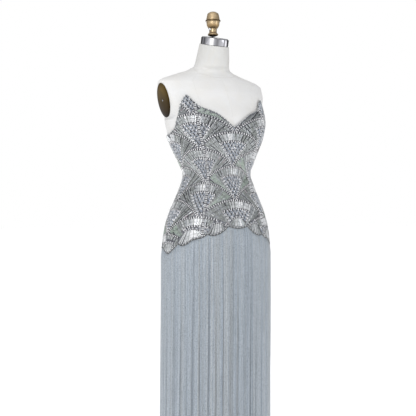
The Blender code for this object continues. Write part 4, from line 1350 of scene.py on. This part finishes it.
def stand(steel):
    for name, outline in STAND_OUTLINES.items():
        turned = lathe(f"{name}_steel", rounded_outline(outline, 1.0 * MM, 4), steel, 144, 30)
        settle(turned, name, slot="dark_steel")


def arm_plate(side, name, bronze, steel):
    """An oval plate over an armhole, with a small screw at its middle."""
    turn = np.arange(PLATE_STEPS) * math.tau / PLATE_STEPS
    x = PLATE_HALF_WIDTH * np.cos(turn)
    y = PLATE_HALF_HEIGHT * np.sin(turn)
    rings = [
        np.stack([x * row.share, y * row.share, np.full(PLATE_STEPS, row.rise * MM)], -1)
        for row in PLATE_RINGS
    ]
    points = np.concatenate([*rings, [(0, 0, PLATE_DOME), (0, 0, 0)]])
    faces, _, _ = grid(len(rings), PLATE_STEPS, closed=True)
    top = cap(len(rings) - 1, PLATE_STEPS, len(points) - 2)
    foot = cap(0, PLATE_STEPS, len(points) - 1)
    faces = np.concatenate([faces, top, foot])
    plate = outward(mesh_object(f"arm_plate_{name}_bronze", points, faces, [bronze]))
    plate.data.set_sharp_from_angle(angle=math.radians(45))
    outwards = Vector((side * math.cos(ARMHOLE_LEAN), 0, -math.sin(ARMHOLE_LEAN)))
    upward = Vector((side * math.sin(ARMHOLE_LEAN), 0, math.cos(ARMHOLE_LEAN)))
    turned = Matrix((upward.cross(outwards), upward, outwards)).transposed().to_4x4()
    middle = Vector((side * ARMHOLE_X, ARMHOLE_Y + PLATE_BACK, ARMHOLE_Z))
    place = Matrix.Translation(middle + outwards * GAP - upward * PLATE_DROP) @ turned
    plate.matrix_world = place
    settle(plate, f"arm_plate_{name}", slot="bronze")
    screw = lathe(f"arm_plate_{name}_screw", rounded_outline(PLATE_SCREW, 0.5 * MM), steel, 32, 50)
    screw.matrix_world = place @ Matrix.Translation((0, 0, PLATE_DOME - 0.3 * MM))
    settle(screw, slot="dark_steel")


# The zip.
def zip_fastener(metal):
    """The zip's tape in place of its ribbon, with a double row of teeth, and its metal."""
    low = float(lower_edge(math.pi)) + 2 * MM
    high = float(top_edge(math.pi)) - 2 * MM
    z = np.linspace(low, high, TAPE_ROWS)
    sides = np.linspace(-TAPE_HALF_WIDTH, TAPE_HALF_WIDTH, 5)
    inner = figure(math.pi, z, bodice_out_at(z))[:, None] + sides[:, None] * np.array([1.0, 0.0, 0.0])
    outer = inner + np.array([0, TAPE_THICK, 0])
    tape = thin_shell("zip_tape", inner, outer, zip_tape_material(), sides, z[:, None])
    settle(tape, "zip_chain", slot="zip_tape")
    count = int((high - low - 2 * MM) / TOOTH_PITCH)
    tooth_z = low + 1 * MM + np.arange(count) * TOOTH_PITCH
    centre = figure(math.pi, tooth_z, bodice_out_at(tooth_z) + 0.5 * MM)
    side = np.where(np.arange(count) % 2 == 0, 1.0, -1.0)
    mirror = np.stack([side, np.ones(count), np.ones(count)], -1)
    corners = np.array([(x, y, h) for x in (0, 1) for y in (0, 1) for h in (0, 1)]) * TOOTH_SIZE - TOOTH_START
    points = centre[:, None] + corners * mirror[:, None]
    box = np.array([(0, 1, 3, 2), (4, 6, 7, 5), (0, 4, 5, 1), (2, 3, 7, 6), (0, 2, 6, 4), (1, 5, 7, 3)])
    faces = (box + (np.arange(count) * 8)[:, None, None]).reshape(-1, 4)
    teeth = outward(mesh_object("zip_teeth", points.reshape(-1, 3), faces, [metal], smooth=False))
    settle(teeth, slot="zip_metal")
    for name in ("zip_slider", "zip_pull"):
        repaint(name, metal)


# The set: world, floor, lamps and camera.
def studio_world():
    """A white studio to the camera, with lighter and darker sides for what the object reflects."""
    world = bpy.data.worlds.new("studio")
    world.use_nodes = True
    back = world.node_tree.nodes["Background"]
    back.inputs["Strength"].default_value = WORLD_STRENGTH
    around = gradient(world, coordinates(world, "Generated"), "RADIAL")
    stops = [(panel.turn, (panel.light, panel.light, panel.light * 1.02)) for panel in STUDIO_PANELS]
    link(world, ramp(world, around, *stops), back.inputs["Color"])
    bright = node(world, "ShaderNodeBackground", Color=(1.0, 1.0, 1.0, 1.0), Strength=1.0)
    mix = node(world, "ShaderNodeMixShader")
    link(world, node(world, "ShaderNodeLightPath").outputs["Is Camera Ray"], mix.inputs["Fac"])
    link(world, back.outputs["Background"], mix.inputs[1])
    link(world, bright.outputs["Background"], mix.inputs[2])
    link(world, mix.outputs["Shader"], world.node_tree.nodes["World Output"].inputs["Surface"])
    return world


def studio_floor():
    surface = material("floor", (0.93, 0.93, 0.93), 0.9, Emission_Color=(1, 1, 1, 1), Emission_Strength=0.50)
    tone = ramp(surface, noise(surface, coordinates(surface, "Object"), 1.2), (0.3, 0.92), (0.7, 0.94))
    paint(surface, tone)
    mesh = bpy.data.meshes.new("floor")
    corners = [(x * FLOOR_REACH, y * FLOOR_REACH, 0) for x, y in ((-1, -1), (1, -1), (1, 1), (-1, 1))]
    mesh.from_pydata(corners, [], [(0, 1, 2, 3)])
    mesh.materials.append(surface)
    placed("floor", mesh)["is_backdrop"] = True


def studio():
    scene = bpy.context.scene
    scene.view_settings.view_transform = "Standard"
    scene.world = studio_world()
    studio_floor()
    for light in LIGHTS:
        data = bpy.data.lights.new(light.name, "AREA")
        data.energy = light.power
        data.size = light.size
        data.color = light.colour
        lamp = placed(light.name, data)
        lamp.location = light.place
        lamp.rotation_euler = (LIGHTS_AIM - lamp.location).to_track_quat("-Z", "Y").to_euler()
    data = bpy.data.cameras.new("camera")
    data.lens = CAMERA_LENS
    data.sensor_width = SENSOR
    data.shift_x = SHIFT_X
    data.shift_y = SHIFT_Y
    camera = placed("camera", data)
    x = CAMERA_DISTANCE * math.sin(CAMERA_AZIMUTH)
    y = -CAMERA_DISTANCE * math.cos(CAMERA_AZIMUTH)
    camera.location = (x, y, CAMERA_HEIGHT)
    camera.rotation_euler = (math.pi / 2, 0, CAMERA_AZIMUTH)
    scene.camera = camera


studio()
chrome_made = chrome_material()
brass_made = metal_material("brass", (0.60, 0.46, 0.28), 0.30, 0.06, 45.0, finial_shade_and_tarnish)
bronze_made = metal_material("bronze", (0.190, 0.126, 0.034), 0.34, 0.2, 22.0, plate_painted_rim_shade, plate_painted_foot_shade)
satin_made = metal_material("satin_steel", (0.42, 0.43, 0.45), 0.42, 0.1)
steel_made = metal_material("dark_steel", (0.10, 0.105, 0.115), 0.38, 0.15)
zip_metal_made = metal_material("zip_metal", (0.62, 0.63, 0.65), 0.3, 0.12, 300.0)
lining_made = lining_material()

form(canvas_material())
form_seams(material("canvas_thread", (0.68, 0.67, 0.65), 0.85))
neck_fittings(chrome_made, brass_made, steel_made, satin_made)
arm_plate(-1, "right", bronze_made, satin_made)
arm_plate(1, "left", bronze_made, satin_made)
stand(steel_made)
bodice()
zip_fastener(zip_metal_made)
skirt(lining_made)

boxes = {"cad": CAD_BOX, "visual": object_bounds()}
{name: [list(map(float, corner)) for corner in box] for name, box in boxes.items()}
